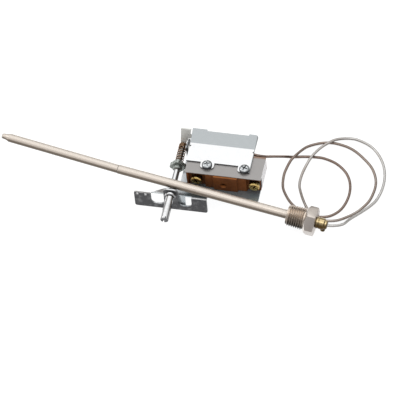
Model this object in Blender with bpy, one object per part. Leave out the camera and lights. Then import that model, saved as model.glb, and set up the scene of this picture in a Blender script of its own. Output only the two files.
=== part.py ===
"""Temperature control with a sensing bulb, for an oven or a fryer: a switch head on a folded bracket, a bulb
with a pipe fitting, and the metal capillary between them.

Metres, +Z up. The origin is the middle of the flange's lower edge. X runs along the switch block and Y back
along the control shaft. The flange is centred on Y = 0.
"""

from math import atan2, cos, pi, radians, sin, sqrt, tan

import bmesh
import bpy
from mathutils import Matrix, Vector

# Clearances
FIT = 0.0003  # between two pieces that touch
RUN = 0.0001  # radial, round a turning or sliding piece

# Folded base bracket
SHEET = 0.0016
PLATE_TOP = 0.0192
PLATE_LEFT = 0.0064
PLATE_RIGHT = 0.0848
PLATE_FRONT = 0.0041
PLATE_SHOULDER = 0.0105  # where the plate's slanted left edge meets the shaft
PLATE_STEP = 0.0440  # where the plate narrows behind the switch block
PLATE_BACK = 0.0620
FLANGE_HALF = 0.0355
NOTCH_OUTER = 0.0198  # from the shaft, as the next two
COLUMN_HALF = 0.0070
COLUMN_TOP = 0.0290
NOTCH_BOTTOM = 0.0062
NOTCH_CORNER = 0.0045
EAR_TOP = 0.0198
EAR_CORNER = 0.0022
BEND = 0.0022
TONGUE_WIDTH = 0.0066
TONGUE_GAP = 0.0012
TONGUE_FOOT = 0.0030
EAR_HOLE = 0.0016
EAR_HOLE_X = (-0.0325, -0.0245)
EAR_HOLE_DROP = 0.0024
FOOT_INSET = 0.0130
FOOT_LENGTH = 0.0400

# Control shaft and what rides on it
SHAFT_RADIUS = 0.003175
STUB_RADIUS = 0.0040
SHAFT_X = 0.0007
SHAFT_LIFT = 0.0024  # of the shaft above the plate
SHAFT_FRONT = -0.0318
SHAFT_BACK = 0.0570
SCREW_RADIUS = 0.0025  # threaded rear part of the shaft
SCREW_START = 0.0290
SLOT_WIDTH = 0.0013
SLOT_DEPTH = 0.0018
SLOT_TURN = radians(20)
FLAT_DEPTH = 0.0008
FLAT_LENGTH = 0.0170
COLLAR_RADIUS = 0.0056
COLLAR_LENGTH = 0.0030
BARREL_RADIUS = 0.0045
BARREL_BACK = 0.0030
CLIP_RADIUS = 0.0041
CLIP_THICKNESS = 0.0008
HUB_RADIUS = 0.0064
HUB_LOBE = 0.0015
HUB_LOBES = 4
HUB_FRONT = 0.0300
HUB_DISC = 0.0333
HUB_DISC_THICKNESS = 0.0040
HUB_NECK = 0.0044
HUB_SPIGOT = 0.0028
HUB_SPIGOT_LENGTH = 0.0030
HUB_TRAVEL = 0.00168

# Return spring
WIRE = 0.0010
SPRING_MEAN = 0.0036
SPRING_TURNS = 10
SPRING_CLOSED = 4  # turns that lie close together at the rear

# Range lever on its pivot
LEVER_SHEET = 0.0012
PIVOT_Y = 0.0485
PIVOT_Z = 0.0348
PIVOT_RADIUS = 0.0012
PIVOT_HEAD = 0.0021
PIVOT_HEAD_LENGTH = 0.0008
LEVER_BED = 0.0314  # underside of the lever's flat middle
LEVER_EAR_BACK = 0.0515
LEVER_LEG_BOTTOM = 0.0262
LEVER_LEG_HALF = 0.0062
ARM_BACK = 0.0638
ARM_TOP = 0.0450
ARM_BOTTOM = 0.0178
ARM_LEFT = -0.0003
ARM_RIGHT = 0.0098
ARM_TIP_HALF = 0.0027

# Frame behind the switch block
FRAME_SHEET = 0.0012
FRAME_LEFT = 0.0076
FRAME_RIGHT = 0.0617
FRAME_FRONT = 0.0450
FRAME_BACK = 0.0600
FRAME_TOP = 0.0388
RIVET_RADIUS = 0.0015
RIVET_HEAD = 0.0026
RIVET_HEAD_HEIGHT = 0.0009
RIVET_X = (0.0250, 0.0470)
RIVET_Y = 0.0555

# Switch block
BLOCK_LEFT = 0.0134
BLOCK_RIGHT = 0.0854
BLOCK_FRONT = 0.0156
BLOCK_BACK = 0.0432
BLOCK_HEIGHT = 0.0189
BOSS_LEFT = 0.0400
BOSS_RIGHT = 0.0635
BOSS_DEPTH = 0.0022
POCKET_DEPTH = 0.0028
POCKET_LEFT_END = 0.0315
POCKET_RIGHT_START = 0.0722
POCKET_MARGIN = 0.0022
BLOCK_WALL = 0.0040
BLOCK_FLOOR = 0.0050
BLOCK_SCREW_X = (0.0345, 0.0660)
BLOCK_SCREW_Y = 0.0290
BLOCK_SCREW_RADIUS = 0.0015
BLOCK_SCREW_HEAD = 0.0029

# Terminals, contacts and plunger
TERMINAL_X = (0.0235, 0.0799)
TERMINAL_Z = 0.0300
TERMINAL_HALF = 0.0050
TERMINAL_SHEET = 0.0010
TERMINAL_SCREW_RADIUS = 0.0017
TERMINAL_HEAD = 0.0052
TERMINAL_HEAD_LENGTH = 0.0040
TERMINAL_SCREW_LENGTH = 0.0032
TAIL_OFFSET = 0.0026  # from the terminal screw to the tail that goes through the wall
STRIP_HALF = 0.0030
BLADE_Y = 0.0297
BLADE_THICKNESS = 0.0003
BLADE_HALF = 0.0024
BLADE_START = 0.0275
BLADE_END = 0.0662
BLADE_FIXED = 0.0302  # end of the clamp, where the blade bends
CONTACT_X = 0.0630
CONTACT_RADIUS = 0.0020
CONTACT_LENGTH = 0.0010
PLUNGER_X = 0.0460
PLUNGER_Z = 0.0298
PLUNGER_RADIUS = 0.0020
CALIBRATION_X = 0.0495
CALIBRATION_Z = 0.0269
CALIBRATION_HOLE = 0.0031
CALIBRATION_RADIUS = 0.0026
CALIBRATION_SHANK = 0.0014
CALIBRATION_DEPTH = 0.0022
CALIBRATION_HEAD = 0.0024

# Switch cover and diaphragm cover
TOP_SHEET = 0.0008
TOP_OVERHANG = 0.0006
TOP_SIDE = 0.0150  # how far its ends fold down over the block
COVER_SHEET = 0.0012
COVER_LEFT = 0.0113
COVER_RIGHT = 0.0744
COVER_FRONT = 0.0283
COVER_FOLD = 0.0502
COVER_BACK = 0.0650
COVER_TAB = 0.0016
COVER_RISE = radians(8)
COVER_NOTCH = 0.0014
COVER_NOTCH_WIDTH = 0.0018
COVER_NOTCH_INSET = 0.0047  # from the fold to the front of the side notches
COVER_SCREW_X = (0.0325, 0.0690)
COVER_SCREW_Y = 0.0248
COVER_SCREW_RADIUS = 0.0019
COVER_SCREW_HEAD = 0.0050
COVER_SCREW_HEAD_HEIGHT = 0.0026
COVER_SCREW_LENGTH = 0.0100
TAB_HALF = 0.0066

# Diaphragm
CUP_X = 0.0420
CUP_Y = 0.0570
CUP_RADIUS = 0.0110
CUP_WALL = 0.0016
CUP_HEIGHT = 0.0043
DISC_THICKNESS = 0.0005
DISC_DROP = 0.0018
BUTTON_RADIUS = 0.0030
BUTTON_NOSE = 0.0014

# Capillary, bulb and pipe fitting
TUBE_RADIUS = 0.00135
FERRULE_WALL = 0.0005
FERRULE_LENGTH = 0.0048
BULB_RADIUS = 0.0041
BULB_TIP_LENGTH = 0.0085
BULB_TIP_RADIUS = 0.0026
SLEEVE_RADIUS = 0.0044
BULB_TIP = (-0.1691, 0.0276, 0.0473)
SLEEVE_END = (-0.0524, 0.0128, 0.0349)
HEX_CENTRE = (0.1381, -0.0070, 0.0146)
HEX_FLATS = 0.0254
HEX_LENGTH = 0.0104
HEX_TURN = radians(-7.6)
PIPE_RADIUS = 0.01065  # half of a half inch taper thread, at the hexagon
PIPE_LENGTH = 0.0180
PIPE_TAPER = 1 / 32  # of the radius, along the axis
GLAND_RADIUS = 0.0056
GLAND_NECK = 0.0042
GLAND_LENGTH = 0.0114
GLAND_THREAD = 0.0050
SET_SCREW_RADIUS = 0.0015
SET_SCREW_PLACE = 0.0075  # along the gland, from the hexagon
SET_SCREW_HEAD = 0.0023
CAPILLARY_POINTS = 80
CAPILLARY_ROUTE = (
    (0.0640, 0.0506, 0.0377), (0.0746, 0.0469, 0.0374), (0.0835, 0.0488, 0.0340), (0.0905, 0.0595, 0.0221),
    (0.0975, 0.0719, 0.0080), (0.1052, 0.0771, 0.0024), (0.1150, 0.0795, 0.0016), (0.1250, 0.0805, 0.0015),
    (0.1350, 0.0800, 0.0015), (0.1480, 0.0750, 0.0015), (0.1590, 0.0650, 0.0015), (0.1650, 0.0520, 0.0015),
    (0.1662, 0.0370, 0.0015), (0.1624, 0.0220, 0.0015), (0.1545, 0.0125, 0.0015), (0.1450, 0.0090, 0.0015),
    (0.1330, 0.0095, 0.0015), (0.1220, 0.0145, 0.0015), (0.1120, 0.0225, 0.0015), (0.1040, 0.0340, 0.0015),
    (0.1009, 0.0425, 0.0015), (0.0998, 0.0545, 0.0017), (0.1011, 0.0630, 0.0028), (0.1036, 0.0704, 0.0048),
    (0.1063, 0.0748, 0.0059), (0.1109, 0.0837, 0.0044), (0.1158, 0.0912, 0.0026), (0.1236, 0.0965, 0.0017),
    (0.1311, 0.0992, 0.0016), (0.1391, 0.1002, 0.0015), (0.1467, 0.0993, 0.0015), (0.1556, 0.0968, 0.0015),
    (0.1643, 0.0920, 0.0015), (0.1742, 0.0837, 0.0015), (0.1820, 0.0752, 0.0015), (0.1871, 0.0653, 0.0015),
    (0.1894, 0.0555, 0.0015), (0.1890, 0.0452, 0.0015), (0.1864, 0.0340, 0.0015), (0.1804, 0.0236, 0.0015),
    (0.1750, 0.0173, 0.0016), (0.1683, 0.0110, 0.0024), (0.1614, 0.0058, 0.0035), (0.1539, 0.0032, 0.0043),
    (0.1470, 0.0032, 0.0045), (0.1380, 0.0062, 0.0046), (0.1310, 0.0136, 0.0046), (0.1252, 0.0234, 0.0036),
    (0.1200, 0.0348, 0.0022), (0.1168, 0.0449, 0.0015), (0.1168, 0.0570, 0.0016), (0.1195, 0.0689, 0.0034),
    (0.1227, 0.0779, 0.0049), (0.1267, 0.0861, 0.0047), (0.1310, 0.0924, 0.0046), (0.1366, 0.0980, 0.0049),
    (0.1420, 0.1029, 0.0040), (0.1514, 0.1074, 0.0019), (0.1612, 0.1077, 0.0015), (0.1745, 0.1025, 0.0015),
    (0.1843, 0.0938, 0.0015), (0.1920, 0.0813, 0.0015), (0.1962, 0.0668, 0.0015), (0.1966, 0.0514, 0.0015),
    (0.1936, 0.0374, 0.0016), (0.1893, 0.0286, 0.0026), (0.1830, 0.0189, 0.0045), (0.1738, 0.0057, 0.0080),
    (0.1678, -0.0045, 0.0110),
)


def material(name, colour, roughness, metallic=0.0):
    made = bpy.data.materials.new(name)
    made.use_nodes = True
    shader = made.node_tree.nodes["Principled BSDF"]
    shader.inputs["Base Color"].default_value = (*colour, 1.0)
    shader.inputs["Roughness"].default_value = roughness
    shader.inputs["Metallic"].default_value = metallic
    return made


def axis_frame(point, direction, turn=0.0):
    """A frame at point whose Z runs along direction, and whose Y stays as near to up as it can."""
    along = Vector(direction).normalized()
    side = Vector((0, 0, 1)).cross(along)
    side = side.normalized() if side.length > 1e-6 else Vector((1, 0, 0))
    up = along.cross(side)
    rotation = Matrix((side, up, along)).transposed().to_4x4()
    return Matrix.Translation(point) @ rotation @ Matrix.Rotation(turn, 4, "Z")


def part(name, bm, look, place=None):
    """An object from a bmesh in the frame of place, shaded smooth apart from its sharp edges."""
    bmesh.ops.recalc_face_normals(bm, faces=bm.faces)
    mesh = bpy.data.meshes.new(name)
    bm.to_mesh(mesh)
    bm.free()
    mesh.shade_smooth()
    mesh.set_sharp_from_angle(angle=radians(35))
    obj = bpy.data.objects.new(name, mesh)
    bpy.context.scene.collection.objects.link(obj)
    if look:
        mesh.materials.append(look)
    if place is not None:
        obj.matrix_world = place
    return obj


def rounded(corners, steps=4):
    """Outline from (x, y, radius) corners, each rounded by an arc that touches both of its sides."""
    outline = []
    for i, (x, y, radius) in enumerate(corners):
        here = Vector((x, y))
        if not radius:
            outline.append(here)
            continue
        back = Vector(corners[i - 1][:2]) - here
        ahead = Vector(corners[(i + 1) % len(corners)][:2]) - here
        half = back.angle(ahead) / 2
        radius = min(radius, 0.49 * min(back.length, ahead.length) * tan(half))
        centre = here + (back.normalized() + ahead.normalized()).normalized() * radius / sin(half)
        start = here + back.normalized() * radius / tan(half) - centre
        sweep = start.angle_signed(here + ahead.normalized() * radius / tan(half) - centre)
        for k in range(steps + 1):
            turn = -sweep * k / steps
            outline.append(centre + Vector((start.x * cos(turn) - start.y * sin(turn),
                                            start.x * sin(turn) + start.y * cos(turn))))
    return outline


def circle(x, y, radius, sides=24):
    return [Vector((x + radius * cos(2 * pi * k / sides),
                    y + radius * sin(2 * pi * k / sides))) for k in range(sides)]


def rectangle(left, front, right, back, radius=0.0):
    return rounded([(left, front, radius), (right, front, radius), (right, back, radius),
                    (left, back, radius)])


SPREAD = {
    "X": lambda a, b, c: (c, a, b),
    "Y": lambda a, b, c: (a, c, b),
    "Z": lambda a, b, c: (a, b, c),
}


def prism(name, outline, low, high, along, look=None, place=None):
    """The outline, in the other two axes in X, Y, Z order, pushed out from low to high along one axis."""
    spread = SPREAD[along]
    bm = bmesh.new()
    bottom = [bm.verts.new(spread(p[0], p[1], low)) for p in outline]
    top = [bm.verts.new(spread(p[0], p[1], high)) for p in outline]
    bm.faces.new(bottom)
    bm.faces.new(top)
    for i in range(len(outline)):
        bm.faces.new((bottom[i - 1], bottom[i], top[i], top[i - 1]))
    return part(name, bm, look, place)


def turned(name, profile, place, look=None, sides=24):
    """A profile of (radius, distance along the axis) points turned round the Z axis of place."""
    bm = bmesh.new()
    points = [bm.verts.new((radius, 0, along)) for radius, along in profile]
    closed = profile[0][0] > 0
    edges = [bm.edges.new(pair) for pair in zip(points, points[1:])]
    if closed:
        edges.append(bm.edges.new((points[-1], points[0])))
    bmesh.ops.spin(bm, geom=points + edges, cent=(0, 0, 0), axis=(0, 0, 1), angle=2 * pi, steps=sides,
                   use_merge=True)
    bmesh.ops.remove_doubles(bm, verts=bm.verts, dist=1e-7)
    return part(name, bm, look, place)


def combine(body, operation, *tools):
    """Adds or cuts hidden tool shapes."""
    for tool in tools:
        tool.hide_render = True
        tool.display_type = "WIRE"
        step = body.modifiers.new(tool.name, "BOOLEAN")
        step.operation = operation
        step.object = tool
    return body


def join(body, *tools):
    return combine(body, "UNION", *tools)


def cut(body, *tools):
    return combine(body, "DIFFERENCE", *tools)


def rod_cutter(name, x, y, radius, low, high, along, sides=24):
    return prism(name, circle(x, y, radius, sides), low, high, along)


def smooth_path(route, count):
    """Evenly spaced points on a smooth curve through the route."""
    ends = [2 * Vector(route[0]) - Vector(route[1]), *map(Vector, route),
            2 * Vector(route[-1]) - Vector(route[-2])]
    fine = []
    for a, b, c, d in zip(ends, ends[1:], ends[2:], ends[3:]):
        for k in range(24):
            t = k / 24
            bend = 2 * a - 5 * b + 4 * c - d
            fine.append((2 * b + (c - a) * t + bend * t * t + (3 * b - a - 3 * c + d) * t**3) / 2)
    fine.append(ends[-2])
    lengths = [0.0]
    for a, b in zip(fine, fine[1:]):
        lengths.append(lengths[-1] + (b - a).length)
    path, i = [], 0
    for k in range(count):
        target = lengths[-1] * k / (count - 1)
        while i < len(fine) - 2 and lengths[i + 1] < target:
            i += 1
        path.append(fine[i].lerp(fine[i + 1], (target - lengths[i]) / (lengths[i + 1] - lengths[i])))
    return path


def wire(name, path, radius, look, resolution=2, place=None):
    """A round wire along a path, as a curve with a bevel and closed ends."""
    curve = bpy.data.curves.new(name, "CURVE")
    curve.dimensions = "3D"
    curve.bevel_depth = radius
    curve.bevel_resolution = resolution
    curve.use_fill_caps = True
    spline = curve.splines.new("POLY")
    spline.points.add(len(path) - 1)
    for point, at in zip(spline.points, path):
        point.co = (*at, 1.0)
    curve.materials.append(look)
    obj = bpy.data.objects.new(name, curve)
    bpy.context.scene.collection.objects.link(obj)
    if place is not None:
        obj.matrix_world = place
    return obj


def screw_profile(radius, length, head, head_height, crown=0.35):
    """A pan head screw, its tip at -length and the underside of its head at zero."""
    return [(0, -length), (radius * 0.7, -length), (radius, -length + radius * 0.5), (radius, 0),
            (head * 0.94, 0),
            (head, head_height * crown * 0.4), (head, head_height * crown), (head * 0.86, head_height * 0.75),
            (head * 0.55, head_height * 0.95), (0, head_height)]


# Places that follow from the sizes above
SHAFT_HEIGHT = PLATE_TOP + SHAFT_LIFT
PLATE_BOTTOM = PLATE_TOP - SHEET
FLANGE_FRONT = -SHEET / 2
FLANGE_BACK = SHEET / 2
BLOCK_BOTTOM = PLATE_TOP + FIT
BLOCK_TOP = BLOCK_BOTTOM + BLOCK_HEIGHT
TOP_LOW = BLOCK_TOP + FIT
TOP_HIGH = TOP_LOW + TOP_SHEET
COVER_LOW = TOP_HIGH + FIT
COVER_HIGH = COVER_LOW + COVER_SHEET
POCKET_FRONT = BLOCK_FRONT + POCKET_DEPTH
LEVER_TOP = LEVER_BED + LEVER_SHEET
LEVER_FRONT = PIVOT_Y - 0.5 * LEVER_SHEET - 0.0019
LEVER_LEFT = FRAME_LEFT + FRAME_SHEET + 2 * FIT
LEVER_RIGHT = FRAME_RIGHT - FRAME_SHEET - 2 * FIT
ARM_FRONT = ARM_BACK - LEVER_SHEET
HUB_DISC_BACK = HUB_DISC + HUB_DISC_THICKNESS
CUP_TOP = COVER_LOW - FIT
CUP_BOTTOM = CUP_TOP - CUP_HEIGHT
DISC_TOP = CUP_TOP - CUP_WALL - DISC_DROP / 2
FERRULE_Z = CUP_TOP - CUP_HEIGHT / 2
SHAFT_PLACE = axis_frame((SHAFT_X, 0, SHAFT_HEIGHT), (0, 1, 0))


def base_bracket(look):
    """Flange with ears and notches, base plate, bend, tongue and rear foot, from one sheet."""
    r = NOTCH_CORNER
    notch_left, notch_right = SHAFT_X - NOTCH_OUTER, SHAFT_X + NOTCH_OUTER
    column_left, column_right = SHAFT_X - COLUMN_HALF, SHAFT_X + COLUMN_HALF
    flange = prism("base_bracket", rounded([
        (-FLANGE_HALF, 0, EAR_CORNER), (FLANGE_HALF, 0, EAR_CORNER), (FLANGE_HALF, PLATE_TOP - BEND, 0),
        (notch_right, PLATE_TOP - BEND, 0), (notch_right, NOTCH_BOTTOM, r), (column_right, NOTCH_BOTTOM, r),
        (column_right, COLUMN_TOP, COLUMN_HALF * 0.6), (column_left, COLUMN_TOP, COLUMN_HALF * 0.6),
        (column_left, NOTCH_BOTTOM, r), (notch_left, NOTCH_BOTTOM, r), (notch_left, EAR_TOP, EAR_CORNER / 2),
        (-FLANGE_HALF, EAR_TOP, EAR_CORNER / 2)]), FLANGE_FRONT, FLANGE_BACK, "Y", look)
    ear_bend = prism("ear_bend", rounded([
        (FLANGE_FRONT, EAR_TOP / 2, 0), (FLANGE_FRONT, PLATE_TOP, BEND), (PLATE_FRONT + SHEET, PLATE_TOP, 0),
        (PLATE_FRONT + SHEET, PLATE_BOTTOM, 0), (FLANGE_BACK, PLATE_BOTTOM, BEND - SHEET),
        (FLANGE_BACK, EAR_TOP / 2, 0)]),
        notch_right, FLANGE_HALF, "X")
    web = FLANGE_BACK + TONGUE_GAP
    plate = prism("base_plate", rounded([
        (notch_left, web, 0), (notch_right + SHEET, web, 0), (notch_right + SHEET, PLATE_FRONT, 0),
        (PLATE_RIGHT, PLATE_FRONT, EAR_CORNER), (PLATE_RIGHT, PLATE_STEP, EAR_CORNER),
        (FRAME_RIGHT + FRAME_LEFT, PLATE_STEP, EAR_CORNER), (FRAME_RIGHT + FRAME_LEFT, PLATE_BACK,
            EAR_CORNER),
        (PLATE_LEFT, PLATE_BACK, EAR_CORNER), (PLATE_LEFT, BLOCK_FRONT, EAR_CORNER),
        (column_left / 2, PLATE_SHOULDER, EAR_CORNER)]),
        PLATE_BOTTOM, PLATE_TOP, "Z")
    tongue_left = column_right - 0.0006
    tongue = prism("tongue", rounded([
        (web, PLATE_TOP - SHEET / 4, 0), (web, TONGUE_FOOT, 0.0012),
        (FLANGE_BACK - SHEET / 2, TONGUE_FOOT, 0),
        (FLANGE_BACK - SHEET / 2, TONGUE_FOOT - SHEET / 2, 0), (web + SHEET, TONGUE_FOOT - SHEET / 2, 0.0022),
        (web + SHEET, PLATE_TOP - SHEET / 4, 0)]), tongue_left, tongue_left + TONGUE_WIDTH, "X")
    foot_left = PLATE_LEFT + FOOT_INSET
    foot = prism("rear_foot", rounded([
        (PLATE_BACK - 2 * SHEET, PLATE_TOP - SHEET / 8, 0), (PLATE_BACK - SHEET / 8, PLATE_TOP - SHEET / 8,
            BEND),
        (PLATE_BACK - SHEET / 8, 0, 0), (PLATE_BACK - SHEET * 9 / 8, 0, 0),
        (PLATE_BACK - SHEET * 9 / 8, PLATE_BOTTOM, BEND - SHEET), (PLATE_BACK - 2 * SHEET, PLATE_BOTTOM, 0)]),
        foot_left, foot_left + FOOT_LENGTH, "X")
    join(flange, ear_bend, plate, tongue, foot)
    relief = CLIP_RADIUS + 2 * FIT
    cut(flange, rod_cutter("bushing_bore", SHAFT_X, SHAFT_HEIGHT, BARREL_RADIUS + FIT, -SHEET, SHEET, "Y",
                           32),
        prism("clip_relief", rectangle(SHAFT_X - relief, FLANGE_BACK + FIT, SHAFT_X + relief,
                                       BARREL_BACK + CLIP_THICKNESS + 4 * FIT, 0.0005),
              PLATE_BOTTOM - SHEET, PLATE_TOP + SHEET, "Z"),
        rod_cutter("shaft_channel", SHAFT_X, SHAFT_HEIGHT, SHAFT_RADIUS + FIT, BARREL_BACK, HUB_FRONT, "Y",
                   32))
    cut(flange, prism("hub_relief", rectangle(-PLATE_LEFT, HUB_DISC - 2 * FIT,
                                              SHAFT_X + HUB_RADIUS + HUB_LOBE + 2 * FIT,
                                              HUB_DISC_BACK + HUB_TRAVEL + 2 * FIT, 0.0006),
                                              PLATE_BOTTOM - SHEET,
                      PLATE_TOP + SHEET, "Z"))
    for i, x in enumerate(EAR_HOLE_X):
        cut(flange, rod_cutter(f"ear_hole_{i}", x, EAR_TOP - EAR_HOLE_DROP, EAR_HOLE, -SHEET, SHEET, "Y", 16))
    for i, x in enumerate(BLOCK_SCREW_X):
        cut(flange, rod_cutter(f"block_screw_hole_{i}", x, BLOCK_SCREW_Y, BLOCK_SCREW_RADIUS + FIT,
                               PLATE_BOTTOM - SHEET, PLATE_TOP + SHEET, "Z", 16))
    for i, x in enumerate(RIVET_X):
        cut(flange, rod_cutter(f"rivet_hole_{i}", x, RIVET_Y, RIVET_RADIUS + FIT,
                               PLATE_BOTTOM - SHEET, PLATE_TOP + SHEET, "Z", 16))
    return flange


def shaft_bushing(look):
    front = FLANGE_FRONT - FIT
    bore = SHAFT_RADIUS + RUN
    edge = 0.0006
    return turned("shaft_bushing", [
        (bore, front - COLLAR_LENGTH), (COLLAR_RADIUS - edge, front - COLLAR_LENGTH),
        (COLLAR_RADIUS, front - COLLAR_LENGTH + edge), (COLLAR_RADIUS, front), (BARREL_RADIUS, front),
        (BARREL_RADIUS, BARREL_BACK), (bore, BARREL_BACK)], SHAFT_PLACE, look)


def control_shaft(look):
    """Slotted and flatted at its thick front, grooved for its clip, threaded and thinner at the rear."""
    groove = SHAFT_RADIUS - 0.0006
    stub_back = FLANGE_FRONT - COLLAR_LENGTH - 2 * FIT
    clip_front = BARREL_BACK + FIT
    clip_back = clip_front + CLIP_THICKNESS + 2 * FIT
    chamfer = 0.0004
    shaft = turned("control_shaft", [
        (0, SHAFT_FRONT), (STUB_RADIUS - chamfer, SHAFT_FRONT), (STUB_RADIUS, SHAFT_FRONT + chamfer),
        (STUB_RADIUS, stub_back - chamfer), (STUB_RADIUS - chamfer, stub_back), (SHAFT_RADIUS, stub_back),
        (SHAFT_RADIUS, clip_front), (groove, clip_front), (groove, clip_back), (SHAFT_RADIUS, clip_back),
        (SHAFT_RADIUS, SCREW_START - chamfer), (SCREW_RADIUS, SCREW_START),
        (SCREW_RADIUS, SHAFT_BACK - chamfer),
        (SCREW_RADIUS - chamfer, SHAFT_BACK), (0, SHAFT_BACK)], SHAFT_PLACE, look, 36)
    reach = 2 * STUB_RADIUS
    slot_place = SHAFT_PLACE @ Matrix.Rotation(SLOT_TURN, 4, "Z")
    slot = prism("shaft_slot", rectangle(-SLOT_WIDTH / 2, -reach, SLOT_WIDTH / 2, reach),
                 SHAFT_FRONT - reach, SHAFT_FRONT + SLOT_DEPTH, "Z", None, slot_place)
    flat = prism("shaft_flat", rectangle(-reach, -2 * reach, reach, FLAT_DEPTH - STUB_RADIUS),
                 SHAFT_FRONT - reach, SHAFT_FRONT + FLAT_LENGTH, "Z", None, SHAFT_PLACE)
    return cut(shaft, slot, flat)


def shaft_clip(look):
    """An open ring in the shaft's groove."""
    inner = SHAFT_RADIUS - 0.0006 + RUN
    gap = radians(35)
    outline = []
    for radius, steps in ((CLIP_RADIUS, range(21)), (inner, range(20, -1, -1))):
        for k in steps:
            turn = gap + (2 * pi - 2 * gap) * k / 20
            outline.append((radius * sin(turn), -radius * cos(turn)))
    front = BARREL_BACK + 2 * FIT
    return prism("shaft_clip", outline, front, front + CLIP_THICKNESS, "Z", look, SHAFT_PLACE)


def adjuster_hub(look):
    """Die cast nut with lobes, which the threaded shaft moves against the spring."""
    lobes = []
    sides = HUB_LOBES * 14
    for k in range(sides):
        turn = 2 * pi * k / sides
        radius = HUB_RADIUS + HUB_LOBE * max(0.0, cos(HUB_LOBES * turn)) ** 0.6
        lobes.append((radius * sin(turn), radius * cos(turn)))
    hub = prism("adjuster_hub", lobes, HUB_DISC, HUB_DISC_BACK, "Z", look, SHAFT_PLACE)
    bore = SCREW_RADIUS + RUN
    overlap = HUB_DISC_THICKNESS / 4
    neck = turned("hub_neck", [
        (bore, HUB_FRONT), (HUB_NECK - 0.0005, HUB_FRONT), (HUB_NECK, HUB_FRONT + 0.0005),
        (HUB_NECK, HUB_DISC + overlap), (bore, HUB_DISC + overlap)], SHAFT_PLACE)
    spigot = turned("hub_spigot", [
        (SCREW_RADIUS / 2, HUB_DISC_BACK - overlap), (HUB_SPIGOT, HUB_DISC_BACK - overlap),
        (HUB_SPIGOT, HUB_DISC_BACK + HUB_SPIGOT_LENGTH), (SCREW_RADIUS / 2,
                                                          HUB_DISC_BACK + HUB_SPIGOT_LENGTH)],
        SHAFT_PLACE)
    through = turned("hub_bore", [(0, HUB_FRONT - SHEET), (bore, HUB_FRONT - SHEET), (bore, PLATE_BACK),
                                  (0, PLATE_BACK)],
                     SHAFT_PLACE)
    join(hub, neck, spigot)
    return cut(hub, through)


def return_spring(look):
    """Open turns at the hub, close turns at the arm."""
    start = HUB_DISC_BACK + FIT + WIRE / 2
    end = ARM_FRONT - FIT - WIRE / 2
    close_pitch = WIRE * 1.16
    open_turns = SPRING_TURNS - SPRING_CLOSED
    open_pitch = (end - start - SPRING_CLOSED * close_pitch) / open_turns
    path = []
    per_turn = 11
    for k in range(SPRING_TURNS * per_turn + 1):
        turn = k / per_turn
        along = start + open_pitch * min(turn, open_turns) + close_pitch * max(0.0, turn - open_turns)
        path.append((SPRING_MEAN * cos(2 * pi * turn), SPRING_MEAN * sin(2 * pi * turn), along))
    return wire("return_spring", path, WIRE / 2, look, 1, SHAFT_PLACE)


def range_lever(look):
    """Bell crank of folded sheet: flat bed, two pivot ears, a leg for the plunger, an arm for the spring."""
    pivot = axis_frame((0, PIVOT_Y, PIVOT_Z), (1, 0, 0))
    back_up = pivot.inverted()
    s = LEVER_SHEET
    bed = prism("range_lever", rectangle(LEVER_LEFT, LEVER_FRONT, LEVER_RIGHT, ARM_BACK - s / 8, 0.0008),
                LEVER_BED, LEVER_TOP, "Z", look)
    leg = prism("lever_leg", rounded([
        (LEVER_FRONT + s, LEVER_BED + s / 2, 0), (LEVER_FRONT - s / 8, LEVER_BED + s / 2, 0),
        (LEVER_FRONT - s / 8, LEVER_LEG_BOTTOM, s / 2), (LEVER_FRONT + s * 7 / 8, LEVER_LEG_BOTTOM, s / 2),
        (LEVER_FRONT + s * 7 / 8, LEVER_BED + s / 3, 0), (LEVER_FRONT + s, LEVER_BED + s / 3, 0)]),
        PLUNGER_X - LEVER_LEG_HALF, PLUNGER_X + LEVER_LEG_HALF, "X")
    ear_top = PIVOT_Z + PIVOT_RADIUS + RUN + 0.0008
    ear = [(LEVER_FRONT, LEVER_BED + s / 3, 0), (LEVER_EAR_BACK, LEVER_BED + s / 3, 0),
           (LEVER_EAR_BACK, LEVER_TOP, 0), (PIVOT_Y + 0.0022, ear_top, 0.0015),
           (LEVER_FRONT, ear_top, 0.0015)]
    ears = [prism(f"lever_ear_{i}", rounded(ear), low, low + s, "X")
            for i, low in enumerate((LEVER_LEFT - s / 8, LEVER_RIGHT - s * 7 / 8))]
    upstand_top = LEVER_TOP + 0.0040
    upstand_end = CUP_X - CUP_RADIUS - LEVER_SHEET
    tip_left, tip_right = SHAFT_X - ARM_TIP_HALF, SHAFT_X + ARM_TIP_HALF
    arm = prism("lever_arm", rounded([
        (ARM_LEFT, ARM_TOP, 0.0006), (ARM_RIGHT, ARM_TOP, 0.0006), (ARM_RIGHT - 0.0016, upstand_top, 0.0010),
        (upstand_end, upstand_top, 0.0015), (upstand_end, LEVER_BED + s / 4, 0),
        (tip_right + 0.0032, LEVER_BED + s / 4, 0.0020), (tip_right, SHAFT_HEIGHT + ARM_TIP_HALF, 0.0010),
        (tip_right, ARM_BOTTOM, ARM_TIP_HALF * 0.8), (tip_left, ARM_BOTTOM, ARM_TIP_HALF * 0.8),
        (tip_left, SHAFT_HEIGHT + ARM_TIP_HALF, 0.0010)]),
        ARM_FRONT, ARM_BACK, "Y")
    join(bed, leg, *ears, arm)
    for i, low in enumerate((LEVER_LEFT, LEVER_RIGHT)):
        cut(bed, rod_cutter(f"lever_pivot_hole_{i}", PIVOT_Y, PIVOT_Z, PIVOT_RADIUS + RUN, low - 2 * s,
                            low + 2 * s, "X", 20))
    for tool in [m.object for m in bed.modifiers]:
        tool.data.transform(back_up)
        tool.matrix_world = pivot
    bed.data.transform(back_up)
    bed.matrix_world = pivot
    return bed


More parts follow.
